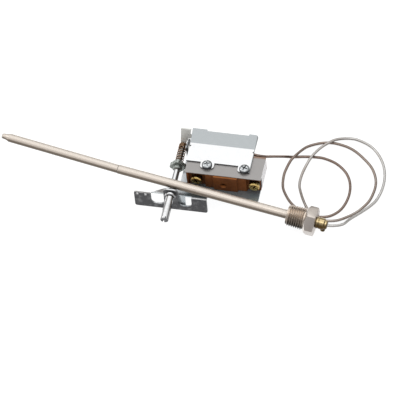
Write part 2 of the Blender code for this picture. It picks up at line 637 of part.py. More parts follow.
def rear_frame(look):
    """Channel of folded sheet on the base plate: its two walls carry the lever's pivots."""
    s = FRAME_SHEET
    low = PLATE_TOP + FIT
    channel = prism("rear_frame", rounded([
        (FRAME_LEFT, low, 0.0018), (FRAME_RIGHT, low, 0.0018), (FRAME_RIGHT, FRAME_TOP, 0),
        (FRAME_RIGHT - s, FRAME_TOP, 0),
        (FRAME_RIGHT - s, low + s, 0.0006), (FRAME_LEFT + s, low + s, 0.0006), (FRAME_LEFT + s, FRAME_TOP, 0),
        (FRAME_LEFT, FRAME_TOP, 0)]), FRAME_FRONT, FRAME_BACK, "Y", look)
    tube_y = CUP_Y + (FRAME_RIGHT - s / 2 - CUP_X) * tan(tube_heading())
    half = TUBE_RADIUS + 2 * FIT
    slot = prism("tube_slot", rounded([
        (tube_y - half, FERRULE_Z - half, 0.0008), (tube_y + half, FERRULE_Z - half, 0.0008),
        (tube_y + half, FRAME_TOP + s, 0), (tube_y - half, FRAME_TOP + s, 0)]), FRAME_RIGHT - 2 * s,
        FRAME_RIGHT + s, "X")
    relief = prism("wall_relief", rounded([
        (FRAME_BACK - 0.0045, FRAME_TOP - 0.0045, 0.0010), (FRAME_BACK + s, FRAME_TOP - 0.0045, 0),
        (FRAME_BACK + s, FRAME_TOP + s, 0), (FRAME_BACK - 0.0045, FRAME_TOP + s, 0)]), FRAME_LEFT - s,
        FRAME_RIGHT + s, "X")
    cut(channel, slot, relief)
    for i, x in enumerate((FRAME_LEFT, FRAME_RIGHT)):
        cut(channel, rod_cutter(f"pivot_hole_{i}", PIVOT_Y, PIVOT_Z, PIVOT_RADIUS + FIT, x - 2 * s,
                                x + 2 * s, "X", 20))
    for i, x in enumerate(RIVET_X):
        cut(channel, rod_cutter(f"frame_rivet_hole_{i}", x, RIVET_Y, RIVET_RADIUS + FIT, low - s,
                                low + 2 * s, "Z", 16))
    return channel


def pivot_pin(side, look):
    """Headed pin through a wall of the frame into the lever's ear."""
    outward = 1 if side == "right" else -1
    wall = FRAME_RIGHT if side == "right" else FRAME_LEFT
    place = axis_frame((wall, PIVOT_Y, PIVOT_Z), (outward, 0, 0))
    length = FRAME_SHEET + LEVER_SHEET + 4 * FIT
    return turned(f"pivot_pin_{side}", [
        (0, -length), (PIVOT_RADIUS, -length), (PIVOT_RADIUS, FIT), (PIVOT_HEAD, FIT),
        (PIVOT_HEAD, FIT + PIVOT_HEAD_LENGTH * 0.6), (PIVOT_HEAD * 0.7, FIT + PIVOT_HEAD_LENGTH),
        (0, FIT + PIVOT_HEAD_LENGTH)], place, look, 20)


def frame_rivet(side, x, look):
    """Rivet that holds the frame down on the base plate, headed at both ends."""
    grip_low = PLATE_BOTTOM - FIT
    grip_high = PLATE_TOP + FIT + FRAME_SHEET + FIT
    place = axis_frame((x, RIVET_Y, 0), (0, 0, 1))
    head = RIVET_HEAD_HEIGHT
    return turned(f"frame_rivet_{side}", [
        (0, grip_low - head), (RIVET_HEAD * 0.7, grip_low - head), (RIVET_HEAD, grip_low - head * 0.5),
        (RIVET_HEAD, grip_low), (RIVET_RADIUS, grip_low), (RIVET_RADIUS, grip_high), (RIVET_HEAD, grip_high),
        (RIVET_HEAD, grip_high + head * 0.5), (RIVET_HEAD * 0.7, grip_high + head), (0, grip_high + head)],
        place, look, 20)


def switch_block(look):
    """Moulded block with a raised middle, two terminal pockets and an open chamber for the contacts."""
    boss = BLOCK_FRONT - BOSS_DEPTH
    r = 0.0011
    block = prism("switch_block", rounded([
        (BLOCK_LEFT, BLOCK_FRONT, 0.0018), (BLOCK_LEFT + POCKET_MARGIN, BLOCK_FRONT, 0.0004),
        (BLOCK_LEFT + POCKET_MARGIN, POCKET_FRONT, 0.0008), (POCKET_LEFT_END, POCKET_FRONT, 0.0008),
        (POCKET_LEFT_END, BLOCK_FRONT, r), (BOSS_LEFT, BLOCK_FRONT, r), (BOSS_LEFT, boss, r),
        (BOSS_RIGHT, boss, r),
        (BOSS_RIGHT, BLOCK_FRONT, r), (POCKET_RIGHT_START, BLOCK_FRONT, r),
        (POCKET_RIGHT_START, POCKET_FRONT, 0.0008),
        (BLOCK_RIGHT, POCKET_FRONT, 0.0006), (BLOCK_RIGHT, BLOCK_BACK, 0.0012),
        (BLOCK_LEFT, BLOCK_BACK, 0.0012)]),
        BLOCK_BOTTOM, BLOCK_TOP, "Z", look)
    chamber_front = POCKET_FRONT + BLOCK_WALL
    chamber = prism("block_chamber", rectangle(BLOCK_LEFT + BLOCK_WALL, chamber_front,
                                               BLOCK_RIGHT - BLOCK_WALL,
                                               BLOCK_BACK - BLOCK_WALL, 0.0015),
                    BLOCK_BOTTOM + BLOCK_FLOOR, BLOCK_TOP + BLOCK_WALL, "Z")
    cut(block, chamber)
    for side, x in zip(("left", "right"), TERMINAL_X):
        cut(block, rod_cutter(f"terminal_bore_{side}", x, TERMINAL_Z, TERMINAL_SCREW_RADIUS + FIT,
                              POCKET_FRONT - BLOCK_WALL,
                              POCKET_FRONT + BLOCK_WALL - SHEET / 4, "Y", 20))
        tail = tail_x(side)
        cut(block, prism(f"tail_slot_{side}", rectangle(
            tail - TERMINAL_SHEET / 2 - FIT, TERMINAL_Z - STRIP_HALF - FIT, tail + TERMINAL_SHEET / 2 + FIT,
            TERMINAL_Z + STRIP_HALF + FIT), POCKET_FRONT - SHEET, chamber_front + SHEET, "Y"))
    cut(block,
        rod_cutter("calibration_bore", CALIBRATION_X, CALIBRATION_Z, CALIBRATION_HOLE, boss - SHEET,
                   boss + CALIBRATION_DEPTH + CALIBRATION_HEAD + FIT, "Y", 28),
        rod_cutter("calibration_shank_bore", CALIBRATION_X, CALIBRATION_Z, CALIBRATION_SHANK + FIT, boss,
                   chamber_front + SHEET, "Y", 20),
        rod_cutter("plunger_bore", PLUNGER_X, PLUNGER_Z, PLUNGER_RADIUS + RUN, BLOCK_BACK - 2 * BLOCK_WALL,
                   BLOCK_BACK + SHEET, "Y", 24))
    for i, x in enumerate(COVER_SCREW_X):
        pillar = rod_cutter(f"screw_pillar_{i}", x, COVER_SCREW_Y, COVER_SCREW_RADIUS + 0.0022,
                            BLOCK_BOTTOM + BLOCK_FLOOR / 2, BLOCK_TOP, "Z")
        join(block, pillar)
        cut(block, rod_cutter(f"cover_screw_bore_{i}", x, COVER_SCREW_Y, COVER_SCREW_RADIUS + FIT,
                              COVER_HIGH - COVER_SCREW_LENGTH - 2 * FIT, BLOCK_TOP + SHEET, "Z", 20))
    for i, x in enumerate(BLOCK_SCREW_X):
        cut(block, rod_cutter(f"block_screw_bore_{i}", x, BLOCK_SCREW_Y, BLOCK_SCREW_RADIUS + FIT,
                              BLOCK_BOTTOM - SHEET,
                              BLOCK_BOTTOM + BLOCK_FLOOR * 0.7, "Z", 16))
    return block


def block_screw(side, x, look):
    """Screw from below the base plate into the block's floor."""
    place = axis_frame((x, BLOCK_SCREW_Y, PLATE_BOTTOM - FIT), (0, 0, -1))
    length = SHEET + 2 * FIT + BLOCK_FLOOR * 0.7 - 2 * FIT
    return turned(f"block_screw_{side}", screw_profile(BLOCK_SCREW_RADIUS, length, BLOCK_SCREW_HEAD, 0.0018),
                  place, look, 20)


def tail_x(side):
    """Where a terminal's tail goes through the front wall, nearer to the block's middle than its screw."""
    x = TERMINAL_X[0] + TAIL_OFFSET if side == "left" else TERMINAL_X[1] - TAIL_OFFSET
    return x


def terminal_plate(side, look):
    """Folded strip: square plate under the screw, tail through the wall, foot that carries a contact."""
    x = TERMINAL_X[0] if side == "left" else TERMINAL_X[1]
    t = TERMINAL_SHEET
    back = POCKET_FRONT - FIT
    plate = prism(f"terminal_plate_{side}", rectangle(x - TERMINAL_HALF, TERMINAL_Z - TERMINAL_HALF,
                                                      x + TERMINAL_HALF,
                                                      TERMINAL_Z + TERMINAL_HALF, 0.0008), back - t, back,
                                                      "Y", look)
    tail = tail_x(side)
    if side == "left":
        foot_y, foot_end = BLADE_Y - FIT, BLADE_FIXED
    else:
        foot_y, foot_end = contact_back() + t + FIT, CONTACT_X - CONTACT_RADIUS - 0.0006
    strip = prism(f"terminal_tail_{side}", rounded([
        (tail - t / 2 if side == "left" else tail + t / 2, back - t / 2, 0),
        (tail - t / 2 if side == "left" else tail + t / 2, foot_y, t),
        (foot_end, foot_y, 0), (foot_end, foot_y - t, 0),
        (tail + t / 2 if side == "left" else tail - t / 2, foot_y - t, 0),
        (tail + t / 2 if side == "left" else tail - t / 2, back - t / 2, 0)]),
        TERMINAL_Z - STRIP_HALF, TERMINAL_Z + STRIP_HALF, "Z")
    join(plate, strip)
    return cut(plate, rod_cutter(f"terminal_hole_{side}", x, TERMINAL_Z, TERMINAL_SCREW_RADIUS + FIT,
                                 back - 3 * t,
                                 back + t / 2, "Y", 20))


def terminal_screw(side, look):
    x = TERMINAL_X[0] if side == "left" else TERMINAL_X[1]
    under_head = POCKET_FRONT - 2 * FIT - TERMINAL_SHEET
    place = axis_frame((x, under_head, TERMINAL_Z), (0, -1, 0))
    screw = turned(f"terminal_screw_{side}", screw_profile(TERMINAL_SCREW_RADIUS, TERMINAL_SCREW_LENGTH,
                                                           TERMINAL_HEAD,
                                                           TERMINAL_HEAD_LENGTH, 0.9), place, look)
    turn = radians(25 if side == "left" else 60)
    for i in range(2):
        cut(screw, prism(f"terminal_recess_{side}_{i}", rectangle(-0.0006, -0.0030, 0.0006, 0.0030),
                         TERMINAL_HEAD_LENGTH * 0.6, 2 * TERMINAL_HEAD_LENGTH, "Z", None,
                         place @ Matrix.Rotation(turn + i * pi / 2, 4, "Z")))
    return screw


def contact_back():
    """Front face of the right terminal's foot, which carries the fixed contact."""
    return BLADE_Y + BLADE_THICKNESS + FIT + 2 * CONTACT_LENGTH + 2 * FIT


def contact(name, low, look, place=None):
    edge = 0.0002
    where = axis_frame((CONTACT_X, low, TERMINAL_Z), (0, 1, 0))
    made = turned(name, [(0, 0), (CONTACT_RADIUS - edge, 0), (CONTACT_RADIUS, edge),
                         (CONTACT_RADIUS, CONTACT_LENGTH - edge),
                         (CONTACT_RADIUS - edge, CONTACT_LENGTH), (0, CONTACT_LENGTH)], where, look, 20)
    if place is not None:
        made.data.transform(place.inverted() @ where)
        made.matrix_world = place
    return made


def blade_place():
    return Matrix.Translation((BLADE_FIXED, BLADE_Y + BLADE_THICKNESS / 2, TERMINAL_Z))


def contact_blade(look):
    """Spring leaf that narrows towards the contact."""
    place = blade_place()
    tip = CONTACT_RADIUS
    return prism("contact_blade", rounded([
        (BLADE_START - BLADE_FIXED, -BLADE_HALF, 0.0004), (PLUNGER_X - BLADE_FIXED + 0.0030, -BLADE_HALF, 0),
        (BLADE_END - BLADE_FIXED - 2 * tip, -tip, 0), (BLADE_END - BLADE_FIXED, -tip, tip * 0.9),
        (BLADE_END - BLADE_FIXED, tip, tip * 0.9), (BLADE_END - BLADE_FIXED - 2 * tip, tip, 0),
        (PLUNGER_X - BLADE_FIXED + 0.0030, BLADE_HALF, 0), (BLADE_START - BLADE_FIXED, BLADE_HALF, 0.0004)]),
        -BLADE_THICKNESS / 2, BLADE_THICKNESS / 2, "Y", look, place)


def plunger(look):
    """Insulating pin from the lever's leg to the blade."""
    front = BLADE_Y + BLADE_THICKNESS + FIT
    back = LEVER_FRONT - LEVER_SHEET / 8 - FIT
    length = back - front
    nose = PLUNGER_RADIUS * 0.6
    return turned("plunger", [(0, 0), (nose, 0), (PLUNGER_RADIUS, 0.0008), (PLUNGER_RADIUS, length - 0.0004),
                              (PLUNGER_RADIUS - 0.0004, length), (0, length)],
                  axis_frame((PLUNGER_X, front, PLUNGER_Z), (0, 1, 0)), look, 24)


def calibration_screw(look):
    """Slotted screw at the bottom of the middle hole."""
    boss = BLOCK_FRONT - BOSS_DEPTH
    seat = boss + CALIBRATION_DEPTH + CALIBRATION_HEAD
    place = axis_frame((CALIBRATION_X, seat, CALIBRATION_Z), (0, -1, 0))
    length = POCKET_FRONT + BLOCK_WALL + 0.0020 - seat
    screw = turned("calibration_screw", [
        (0, -length), (CALIBRATION_SHANK * 0.7, -length), (CALIBRATION_SHANK, -length + 0.0006),
        (CALIBRATION_SHANK, 0),
        (CALIBRATION_RADIUS, 0), (CALIBRATION_RADIUS, CALIBRATION_HEAD - 0.0003),
        (CALIBRATION_RADIUS - 0.0003, CALIBRATION_HEAD), (0, CALIBRATION_HEAD)], place, look, 24)
    return cut(screw, prism("calibration_slot", rectangle(-0.0005, -0.0050, 0.0005, 0.0050),
                            CALIBRATION_HEAD * 0.55,
                            2 * CALIBRATION_HEAD, "Z", None, place @ Matrix.Rotation(radians(35), 4, "Z")))


def switch_cover(look):
    """Plate over the chamber, with both ends folded down over the block."""
    gap = FIT + TOP_SHEET
    left, right = BLOCK_LEFT - gap, BLOCK_RIGHT + gap
    front, back = BLOCK_FRONT - TOP_OVERHANG, BLOCK_BACK + TOP_OVERHANG / 2
    cover = prism("switch_cover", rectangle(left, front, right, back, 0.0007), TOP_LOW, TOP_HIGH, "Z", look)
    low = BLOCK_TOP - TOP_SIDE
    for i, x in enumerate((left, right - TOP_SHEET)):
        side = prism(f"cover_end_{i}", rectangle(POCKET_FRONT + 0.0010, low, back - 0.0010,
                                                 TOP_LOW + TOP_SHEET / 2),
                     x, x + TOP_SHEET, "X")
        join(cover, side)
    for i, x in enumerate(COVER_SCREW_X):
        cut(cover, rod_cutter(f"top_screw_hole_{i}", x, COVER_SCREW_Y, COVER_SCREW_RADIUS + FIT,
                              TOP_LOW - SHEET,
                              TOP_HIGH + SHEET, "Z", 20))
    return cover


def cover_plate(look):
    """Diaphragm cover: flat front with a tab round each screw, notched sides, a rear that rises gently."""
    tab_front = COVER_SCREW_Y - 0.0036
    left_tab = (COVER_SCREW_X[0] - TAB_HALF, COVER_SCREW_X[0] + TAB_HALF)
    right_tab = COVER_SCREW_X[1] - TAB_HALF
    notch_front = COVER_FOLD - COVER_NOTCH_INSET
    notch_back = notch_front + COVER_NOTCH_WIDTH
    flat = prism("cover_plate", rounded([
        (COVER_LEFT, COVER_FRONT, 0.0006), (left_tab[0], COVER_FRONT, 0), (left_tab[0], tab_front, 0.0030),
        (left_tab[1], tab_front, 0.0030), (left_tab[1], COVER_FRONT, 0), (right_tab, COVER_FRONT, 0),
        (right_tab, tab_front, 0.0030), (COVER_RIGHT, tab_front, 0.0010), (COVER_RIGHT, notch_front, 0),
        (COVER_RIGHT - COVER_NOTCH, notch_front, 0.0004), (COVER_RIGHT - COVER_NOTCH, notch_back, 0.0004),
        (COVER_RIGHT, notch_back, 0), (COVER_RIGHT, COVER_FOLD, 0), (COVER_LEFT, COVER_FOLD, 0),
        (COVER_LEFT, notch_back, 0), (COVER_LEFT + COVER_NOTCH, notch_back, 0.0004),
        (COVER_LEFT + COVER_NOTCH, notch_front, 0.0004), (COVER_LEFT, notch_front, 0)]),
        COVER_LOW, COVER_HIGH, "Z", look)
    fold = Matrix.Translation((0, COVER_FOLD, COVER_LOW)) @ Matrix.Rotation(COVER_RISE, 4, "X")
    reach = (COVER_BACK - COVER_FOLD) / cos(COVER_RISE)
    tab_left, tab_right = COVER_LEFT + 0.0138, COVER_RIGHT - 0.0085
    rear = prism("cover_rear", rounded([
        (COVER_LEFT, -0.0004, 0), (COVER_RIGHT, -0.0004, 0),
        (COVER_RIGHT + 0.0008, reach + COVER_TAB, 0.0028),
        (tab_right, reach + COVER_TAB, 0.0005), (tab_right, reach, 0.0004), (tab_left, reach, 0.0004),
        (tab_left, reach + COVER_TAB, 0.0005), (COVER_LEFT - 0.0008, reach + COVER_TAB, 0.0008)]),
        0, COVER_SHEET, "Z", None, fold)
    join(flat, rear)
    for i, x in enumerate(COVER_SCREW_X):
        cut(flat, rod_cutter(f"cover_screw_hole_{i}", x, COVER_SCREW_Y, COVER_SCREW_RADIUS + FIT,
                             COVER_LOW - SHEET,
                             COVER_HIGH + SHEET, "Z", 20))
    return flat


def cover_screw(side, x, look):
    """Pan head with a cross recess."""
    place = axis_frame((x, COVER_SCREW_Y, COVER_HIGH + FIT), (0, 0, 1))
    screw = turned(f"cover_screw_{side}", screw_profile(COVER_SCREW_RADIUS, COVER_SCREW_LENGTH,
                                                        COVER_SCREW_HEAD,
                                                        COVER_SCREW_HEAD_HEIGHT), place, look)
    turn = radians(20 if side == "left" else 70)
    for i in range(2):
        cut(screw, prism(f"cover_recess_{side}_{i}", rectangle(-0.0005, -0.0026, 0.0005, 0.0026),
                         COVER_SCREW_HEAD_HEIGHT * 0.45, 2 * COVER_SCREW_HEAD_HEIGHT, "Z", None,
                         place @ Matrix.Rotation(turn + i * pi / 2, 4, "Z")))
    return screw


def tube_heading():
    """Direction of the capillary in plan, from the middle of the diaphragm cup to its first point outside."""
    first = CAPILLARY_ROUTE[1]
    return atan2(first[1] - CUP_Y, first[0] - CUP_X)


def diaphragm_cup(look):
    place = axis_frame((CUP_X, CUP_Y, 0), (0, 0, 1))
    inner = CUP_RADIUS - CUP_WALL
    edge = 0.0006
    return turned("diaphragm_cup", [
        (0, CUP_TOP - CUP_WALL), (inner, CUP_TOP - CUP_WALL), (inner, CUP_BOTTOM),
        (CUP_RADIUS - edge, CUP_BOTTOM),
        (CUP_RADIUS, CUP_BOTTOM + edge), (CUP_RADIUS, CUP_TOP - edge), (CUP_RADIUS - edge, CUP_TOP),
        (0, CUP_TOP)],
        place, look, 36)


def diaphragm_disc(look):
    """Corrugated disc that the liquid pushes down."""
    radius = CUP_RADIUS - CUP_WALL - FIT
    wave = 0.0003
    upper = [(radius * k / 10, DISC_TOP + wave * (0, 0, 0, 0, 1, -1, 1, -1, 1, 0, 0)[k]) for k in range(11)]
    lower = [(r, z - DISC_THICKNESS) for r, z in reversed(upper)]
    return turned("diaphragm_disc", upper + lower, axis_frame((CUP_X, CUP_Y, 0), (0, 0, 1)), look)


def diaphragm_button(look):
    top = DISC_TOP - DISC_THICKNESS - FIT
    low = LEVER_TOP + FIT
    return turned("diaphragm_button", [
        (0, low), (BUTTON_NOSE, low), (BUTTON_RADIUS, low + 0.0010), (BUTTON_RADIUS, top), (0, top)],
        axis_frame((CUP_X, CUP_Y, 0), (0, 0, 1)), look, 24)


def capillary_ferrule(look):
    """Brazed sleeve where the capillary goes into the cup."""
    heading = Vector((cos(tube_heading()), sin(tube_heading()), 0))
    start = CUP_RADIUS + FIT
    bore = TUBE_RADIUS + FIT
    outside = bore + FERRULE_WALL
    return turned("capillary_ferrule", [
        (bore, start), (outside, start), (outside, start + FERRULE_LENGTH * 0.8),
        (outside - FERRULE_WALL / 2, start + FERRULE_LENGTH), (bore, start + FERRULE_LENGTH)],
        axis_frame((CUP_X, CUP_Y, FERRULE_Z), heading), look, 20)


def fitting_axis():
    """Frame at the middle of the hexagon, its Z pointing away from the bulb."""
    along = Vector(HEX_CENTRE) - Vector(SLEEVE_END)
    return axis_frame(HEX_CENTRE, along, HEX_TURN)


def capillary(look):
    """From inside the ferrule, over the loops, into the gland along the fitting's axis."""
    heading = Vector((cos(tube_heading()), sin(tube_heading()), 0))
    start = Vector((CUP_X, CUP_Y, FERRULE_Z)) + heading * (CUP_RADIUS + 2 * FIT)
    place = fitting_axis()
    face = HEX_LENGTH / 2 + GLAND_LENGTH
    inside = place @ Vector((0, 0, face - GLAND_LENGTH * 0.8))
    mouth = place @ Vector((0, 0, face + 0.0015))
    route = [start, *CAPILLARY_ROUTE, mouth, inside]
    return wire("capillary", smooth_path(route, CAPILLARY_POINTS), TUBE_RADIUS, look)


def sensing_bulb(look):
    """Thin walled tube with a pinched and rounded tip; it ends inside the support sleeve."""
    tip, end = Vector(BULB_TIP), Vector(SLEEVE_END)
    length = (end - tip).length
    taper = BULB_TIP_LENGTH
    profile = [(0, 0), (BULB_TIP_RADIUS * 0.75, 0.0003), (BULB_TIP_RADIUS, 0.0014),
               (BULB_TIP_RADIUS * 1.05, taper * 0.45)]
    for k in range(1, 6):
        t = k / 5
        ease = t * t * (3 - 2 * t)
        profile.append((BULB_TIP_RADIUS * 1.05 + (BULB_RADIUS - BULB_TIP_RADIUS * 1.05) * ease,
                        taper * (0.45 + 0.55 * t)))
    profile += [(BULB_RADIUS, length - FIT), (0, length - FIT)]
    return turned("sensing_bulb", profile, axis_frame(tip, end - tip), look, 32)


def support_sleeve(look):
    """Thicker tube from the end of the bulb into the pipe fitting."""
    end, centre = Vector(SLEEVE_END), Vector(HEX_CENTRE)
    length = (centre - end).length - HEX_LENGTH / 2 + SHEET
    wall = 0.0007
    return turned("support_sleeve", [
        (SLEEVE_RADIUS - wall, 0.0010), (SLEEVE_RADIUS - wall, 0), (SLEEVE_RADIUS - 0.0003, 0),
        (SLEEVE_RADIUS, 0.0005), (SLEEVE_RADIUS, length), (SLEEVE_RADIUS - wall, length)],
        axis_frame(end, centre - end), look, 32)


def pipe_fitting(look):
    """Male taper thread and hexagon with chamfered corners, bored for the sleeve and for the gland."""
    place = fitting_axis()
    half = HEX_LENGTH / 2
    corner = HEX_FLATS / sqrt(3)
    hexagon = prism("pipe_fitting", circle(0, 0, corner, 6), -half, half, "Z", look, place)
    chamfer = corner - HEX_FLATS / 2
    trim = turned("hex_trim", [
        (0, -half), (corner - chamfer, -half), (corner + 0.0002, -half + chamfer * 0.62),
        (corner + 0.0002, half - chamfer * 0.5),
        (corner - chamfer, half), (0, half)], place, None, 48)
    step = hexagon.modifiers.new("hex_trim", "BOOLEAN")
    step.operation = "INTERSECT"
    step.object = trim
    trim.hide_render = True
    trim.display_type = "WIRE"
    small = PIPE_RADIUS - PIPE_LENGTH * PIPE_TAPER
    neck = turned("pipe_thread", [
        (SLEEVE_RADIUS, -half - PIPE_LENGTH), (small - 0.0008, -half - PIPE_LENGTH),
        (small, -half - PIPE_LENGTH + 0.0010),
        (PIPE_RADIUS, -half - 0.0008), (PIPE_RADIUS - 0.0009, -half - 0.0004),
        (PIPE_RADIUS - 0.0009, -half + 0.0010),
        (SLEEVE_RADIUS, -half + 0.0010)], place, None, 48)
    join(hexagon, neck)
    through = turned("sleeve_bore", [
        (0, -half - 2 * PIPE_LENGTH), (SLEEVE_RADIUS + FIT, -half - 2 * PIPE_LENGTH),
        (SLEEVE_RADIUS + FIT, -half + SHEET + FIT),
        (TUBE_RADIUS + FIT, -half + SHEET + 2 * FIT), (TUBE_RADIUS + FIT, half), (0, half)], place, None, 32)
    socket = turned("gland_socket", [
        (0, half - GLAND_THREAD - 0.0015), (GLAND_NECK + FIT, half - GLAND_THREAD - 0.0015),
        (GLAND_NECK + FIT, half + SHEET),
        (0, half + SHEET)], place, None, 32)
    return cut(hexagon, through, socket)


def gland_nut(look):
    """Brass gland: threaded neck in the fitting's socket, stepped body outside."""
    place = fitting_axis()
    half = HEX_LENGTH / 2
    bore = TUBE_RADIUS + FIT
    out = half + GLAND_LENGTH
    nut = turned("gland_nut", [
        (bore, half - GLAND_THREAD), (GLAND_NECK - 0.0004, half - GLAND_THREAD),
        (GLAND_NECK, half - GLAND_THREAD + 0.0005),
        (GLAND_NECK, half + FIT), (GLAND_RADIUS, half + FIT), (GLAND_RADIUS, out - 0.0030),
        (GLAND_RADIUS - 0.0010, out - 0.0022),
        (GLAND_RADIUS - 0.0010, out - 0.0007), (GLAND_RADIUS - 0.0018, out), (bore, out)], place, look, 36)
    spot = place @ Matrix.Translation((0, 0, half + SET_SCREW_PLACE)) @ set_screw_turn()
    bore_tool = turned("set_screw_bore", [
        (0, TUBE_RADIUS + 2 * FIT), (SET_SCREW_RADIUS + FIT, TUBE_RADIUS + 2 * FIT),
        (SET_SCREW_RADIUS + FIT, 2 * GLAND_RADIUS),
        (0, 2 * GLAND_RADIUS)], spot, None, 20)
    return cut(nut, bore_tool)


def set_screw_turn():
    """Turns the gland's axis into the set screw's, which points down and forward."""
    return Matrix.Rotation(radians(-20) - HEX_TURN, 4, "Z") @ Matrix.Rotation(radians(90), 4, "X")


def gland_set_screw(look):
    place = fitting_axis() @ Matrix.Translation((0, 0,
                                                 HEX_LENGTH / 2 + SET_SCREW_PLACE)) @ set_screw_turn()
    low = TUBE_RADIUS + 3 * FIT
    seat = GLAND_RADIUS + FIT
    return turned("gland_set_screw", [
        (0, low), (SET_SCREW_RADIUS, low), (SET_SCREW_RADIUS, seat), (SET_SCREW_HEAD, seat),
        (SET_SCREW_HEAD, seat + 0.0012), (SET_SCREW_HEAD * 0.6, seat + 0.0018), (0, seat + 0.0018)], place,
        look, 20)


def gland_packing(look):
    """Ring that the gland squeezes onto the capillary, deep in the fitting."""
    place = fitting_axis()
    high = HEX_LENGTH / 2 - GLAND_THREAD - FIT
    low = high - 0.0009
    return turned("gland_packing", [
        (TUBE_RADIUS + FIT, low), (GLAND_NECK, low), (GLAND_NECK, high), (TUBE_RADIUS + FIT, high)], place,
        look, 24)


def main():
    for obj in list(bpy.data.objects):
        bpy.data.objects.remove(obj)
    zinc = (0.72, 0.74, 0.76)
    base_bracket(material("base_zinc", (0.42, 0.43, 0.45), 0.30, 1.0))
    shaft_bushing(material("bushing_nickel", (0.70, 0.69, 0.67), 0.22, 1.0))
    control_shaft(material("shaft_steel", (0.75, 0.75, 0.74), 0.20, 1.0))
    shaft_clip(material("clip_steel", (0.20, 0.20, 0.21), 0.40, 1.0))
    adjuster_hub(material("hub_zinc", (0.50, 0.52, 0.49), 0.42, 1.0))
    return_spring(material("spring_bronze", (0.45, 0.24, 0.13), 0.32, 1.0))
    range_lever(material("lever_nickel", (0.68, 0.68, 0.62), 0.34, 1.0))
    rear_frame(material("frame_zinc", (0.30, 0.31, 0.32), 0.40, 1.0))
    pin = material("pin_steel", (0.60, 0.60, 0.60), 0.30, 1.0)
    pivot_pin("left", pin)
    pivot_pin("right", pin)
    rivet = material("rivet_steel", (0.62, 0.62, 0.62), 0.32, 1.0)
    frame_rivet("left", RIVET_X[0], rivet)
    frame_rivet("right", RIVET_X[1], rivet)
    switch_block(material("block_phenolic", (0.16, 0.055, 0.025), 0.34))
    block_fixing = material("block_screw_steel", (0.55, 0.56, 0.58), 0.32, 1.0)
    block_screw("left", BLOCK_SCREW_X[0], block_fixing)
    block_screw("right", BLOCK_SCREW_X[1], block_fixing)
    brass = material("terminal_brass", (0.62, 0.42, 0.14), 0.26, 1.0)
    for side in ("left", "right"):
        terminal_plate(side, brass)
        terminal_screw(side, brass)
    silver = material("contact_silver", (0.80, 0.80, 0.78), 0.25, 1.0)
    contact("fixed_contact", contact_back() - FIT - CONTACT_LENGTH, silver)
    contact("moving_contact", BLADE_Y + BLADE_THICKNESS + FIT, silver, blade_place())
    contact_blade(material("blade_bronze", (0.55, 0.33, 0.18), 0.30, 1.0))
    plunger(material("plunger_ceramic", (0.80, 0.78, 0.72), 0.50))
    calibration_screw(material("calibration_brass", (0.42, 0.27, 0.10), 0.35, 1.0))
    switch_cover(material("switch_cover_grey", (0.38, 0.36, 0.38), 0.45, 0.6))
    cover_plate(material("cover_zinc", zinc, 0.25, 1.0))
    cover_fixing = material("cover_screw_zinc", (0.62, 0.66, 0.70), 0.22, 1.0)
    cover_screw("left", COVER_SCREW_X[0], cover_fixing)
    cover_screw("right", COVER_SCREW_X[1], cover_fixing)
    diaphragm_cup(material("cup_steel", (0.66, 0.66, 0.65), 0.28, 1.0))
    diaphragm_disc(material("disc_steel", (0.72, 0.72, 0.71), 0.25, 1.0))
    diaphragm_button(material("button_steel", (0.58, 0.58, 0.58), 0.30, 1.0))
    capillary_ferrule(material("ferrule_brass", (0.60, 0.42, 0.18), 0.30, 1.0))
    capillary(material("capillary_copper", (0.38, 0.30, 0.25), 0.30, 1.0))
    sensing_bulb(material("bulb_nickel", (0.68, 0.62, 0.54), 0.28, 1.0))
    support_sleeve(material("sleeve_nickel", (0.68, 0.62, 0.54), 0.28, 1.0))
    pipe_fitting(material("fitting_nickel", (0.60, 0.55, 0.49), 0.33, 1.0))
    gland_nut(material("gland_brass", (0.65, 0.47, 0.17), 0.28, 1.0))
    gland_set_screw(material("set_screw_brass", (0.58, 0.41, 0.15), 0.30, 1.0))
    gland_packing(material("packing_graphite", (0.05, 0.05, 0.05), 0.70))


main()
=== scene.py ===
"""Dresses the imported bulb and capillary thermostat: finer shapes, finishes, light and camera.

Metres, in the frame of the CAD: X along the switch block, Y back along the control shaft, Z up.
"""

from math import cos, pi, radians, sin, sqrt

import bmesh
import bpy
from mathutils import Matrix, Vector


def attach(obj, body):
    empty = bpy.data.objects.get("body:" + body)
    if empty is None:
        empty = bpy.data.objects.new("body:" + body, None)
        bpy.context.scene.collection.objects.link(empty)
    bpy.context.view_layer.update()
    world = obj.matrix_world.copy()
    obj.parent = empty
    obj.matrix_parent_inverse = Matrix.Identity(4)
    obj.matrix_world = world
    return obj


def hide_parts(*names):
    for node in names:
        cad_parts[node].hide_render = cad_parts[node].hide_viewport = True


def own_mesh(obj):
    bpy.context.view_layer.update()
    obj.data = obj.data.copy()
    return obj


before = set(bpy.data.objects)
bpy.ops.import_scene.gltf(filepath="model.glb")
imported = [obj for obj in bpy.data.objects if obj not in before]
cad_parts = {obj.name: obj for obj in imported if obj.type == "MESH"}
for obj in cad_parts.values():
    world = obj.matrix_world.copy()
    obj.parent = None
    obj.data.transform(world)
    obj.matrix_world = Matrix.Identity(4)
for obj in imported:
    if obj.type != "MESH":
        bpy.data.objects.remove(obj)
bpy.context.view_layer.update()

# The camera, from the photograph
PICTURE = 415  # pixels across
PIXEL = 0.00096  # metres at AIM
RIGHT = Vector((0.979, 0.1936, -0.0643))
UP = Vector((-0.1134, 0.776, 0.6206))
AIM = Vector((0.0347, 0.0057, 0.0))
DISTANCE = 5.0
SENSOR = 36.0  # millimetres

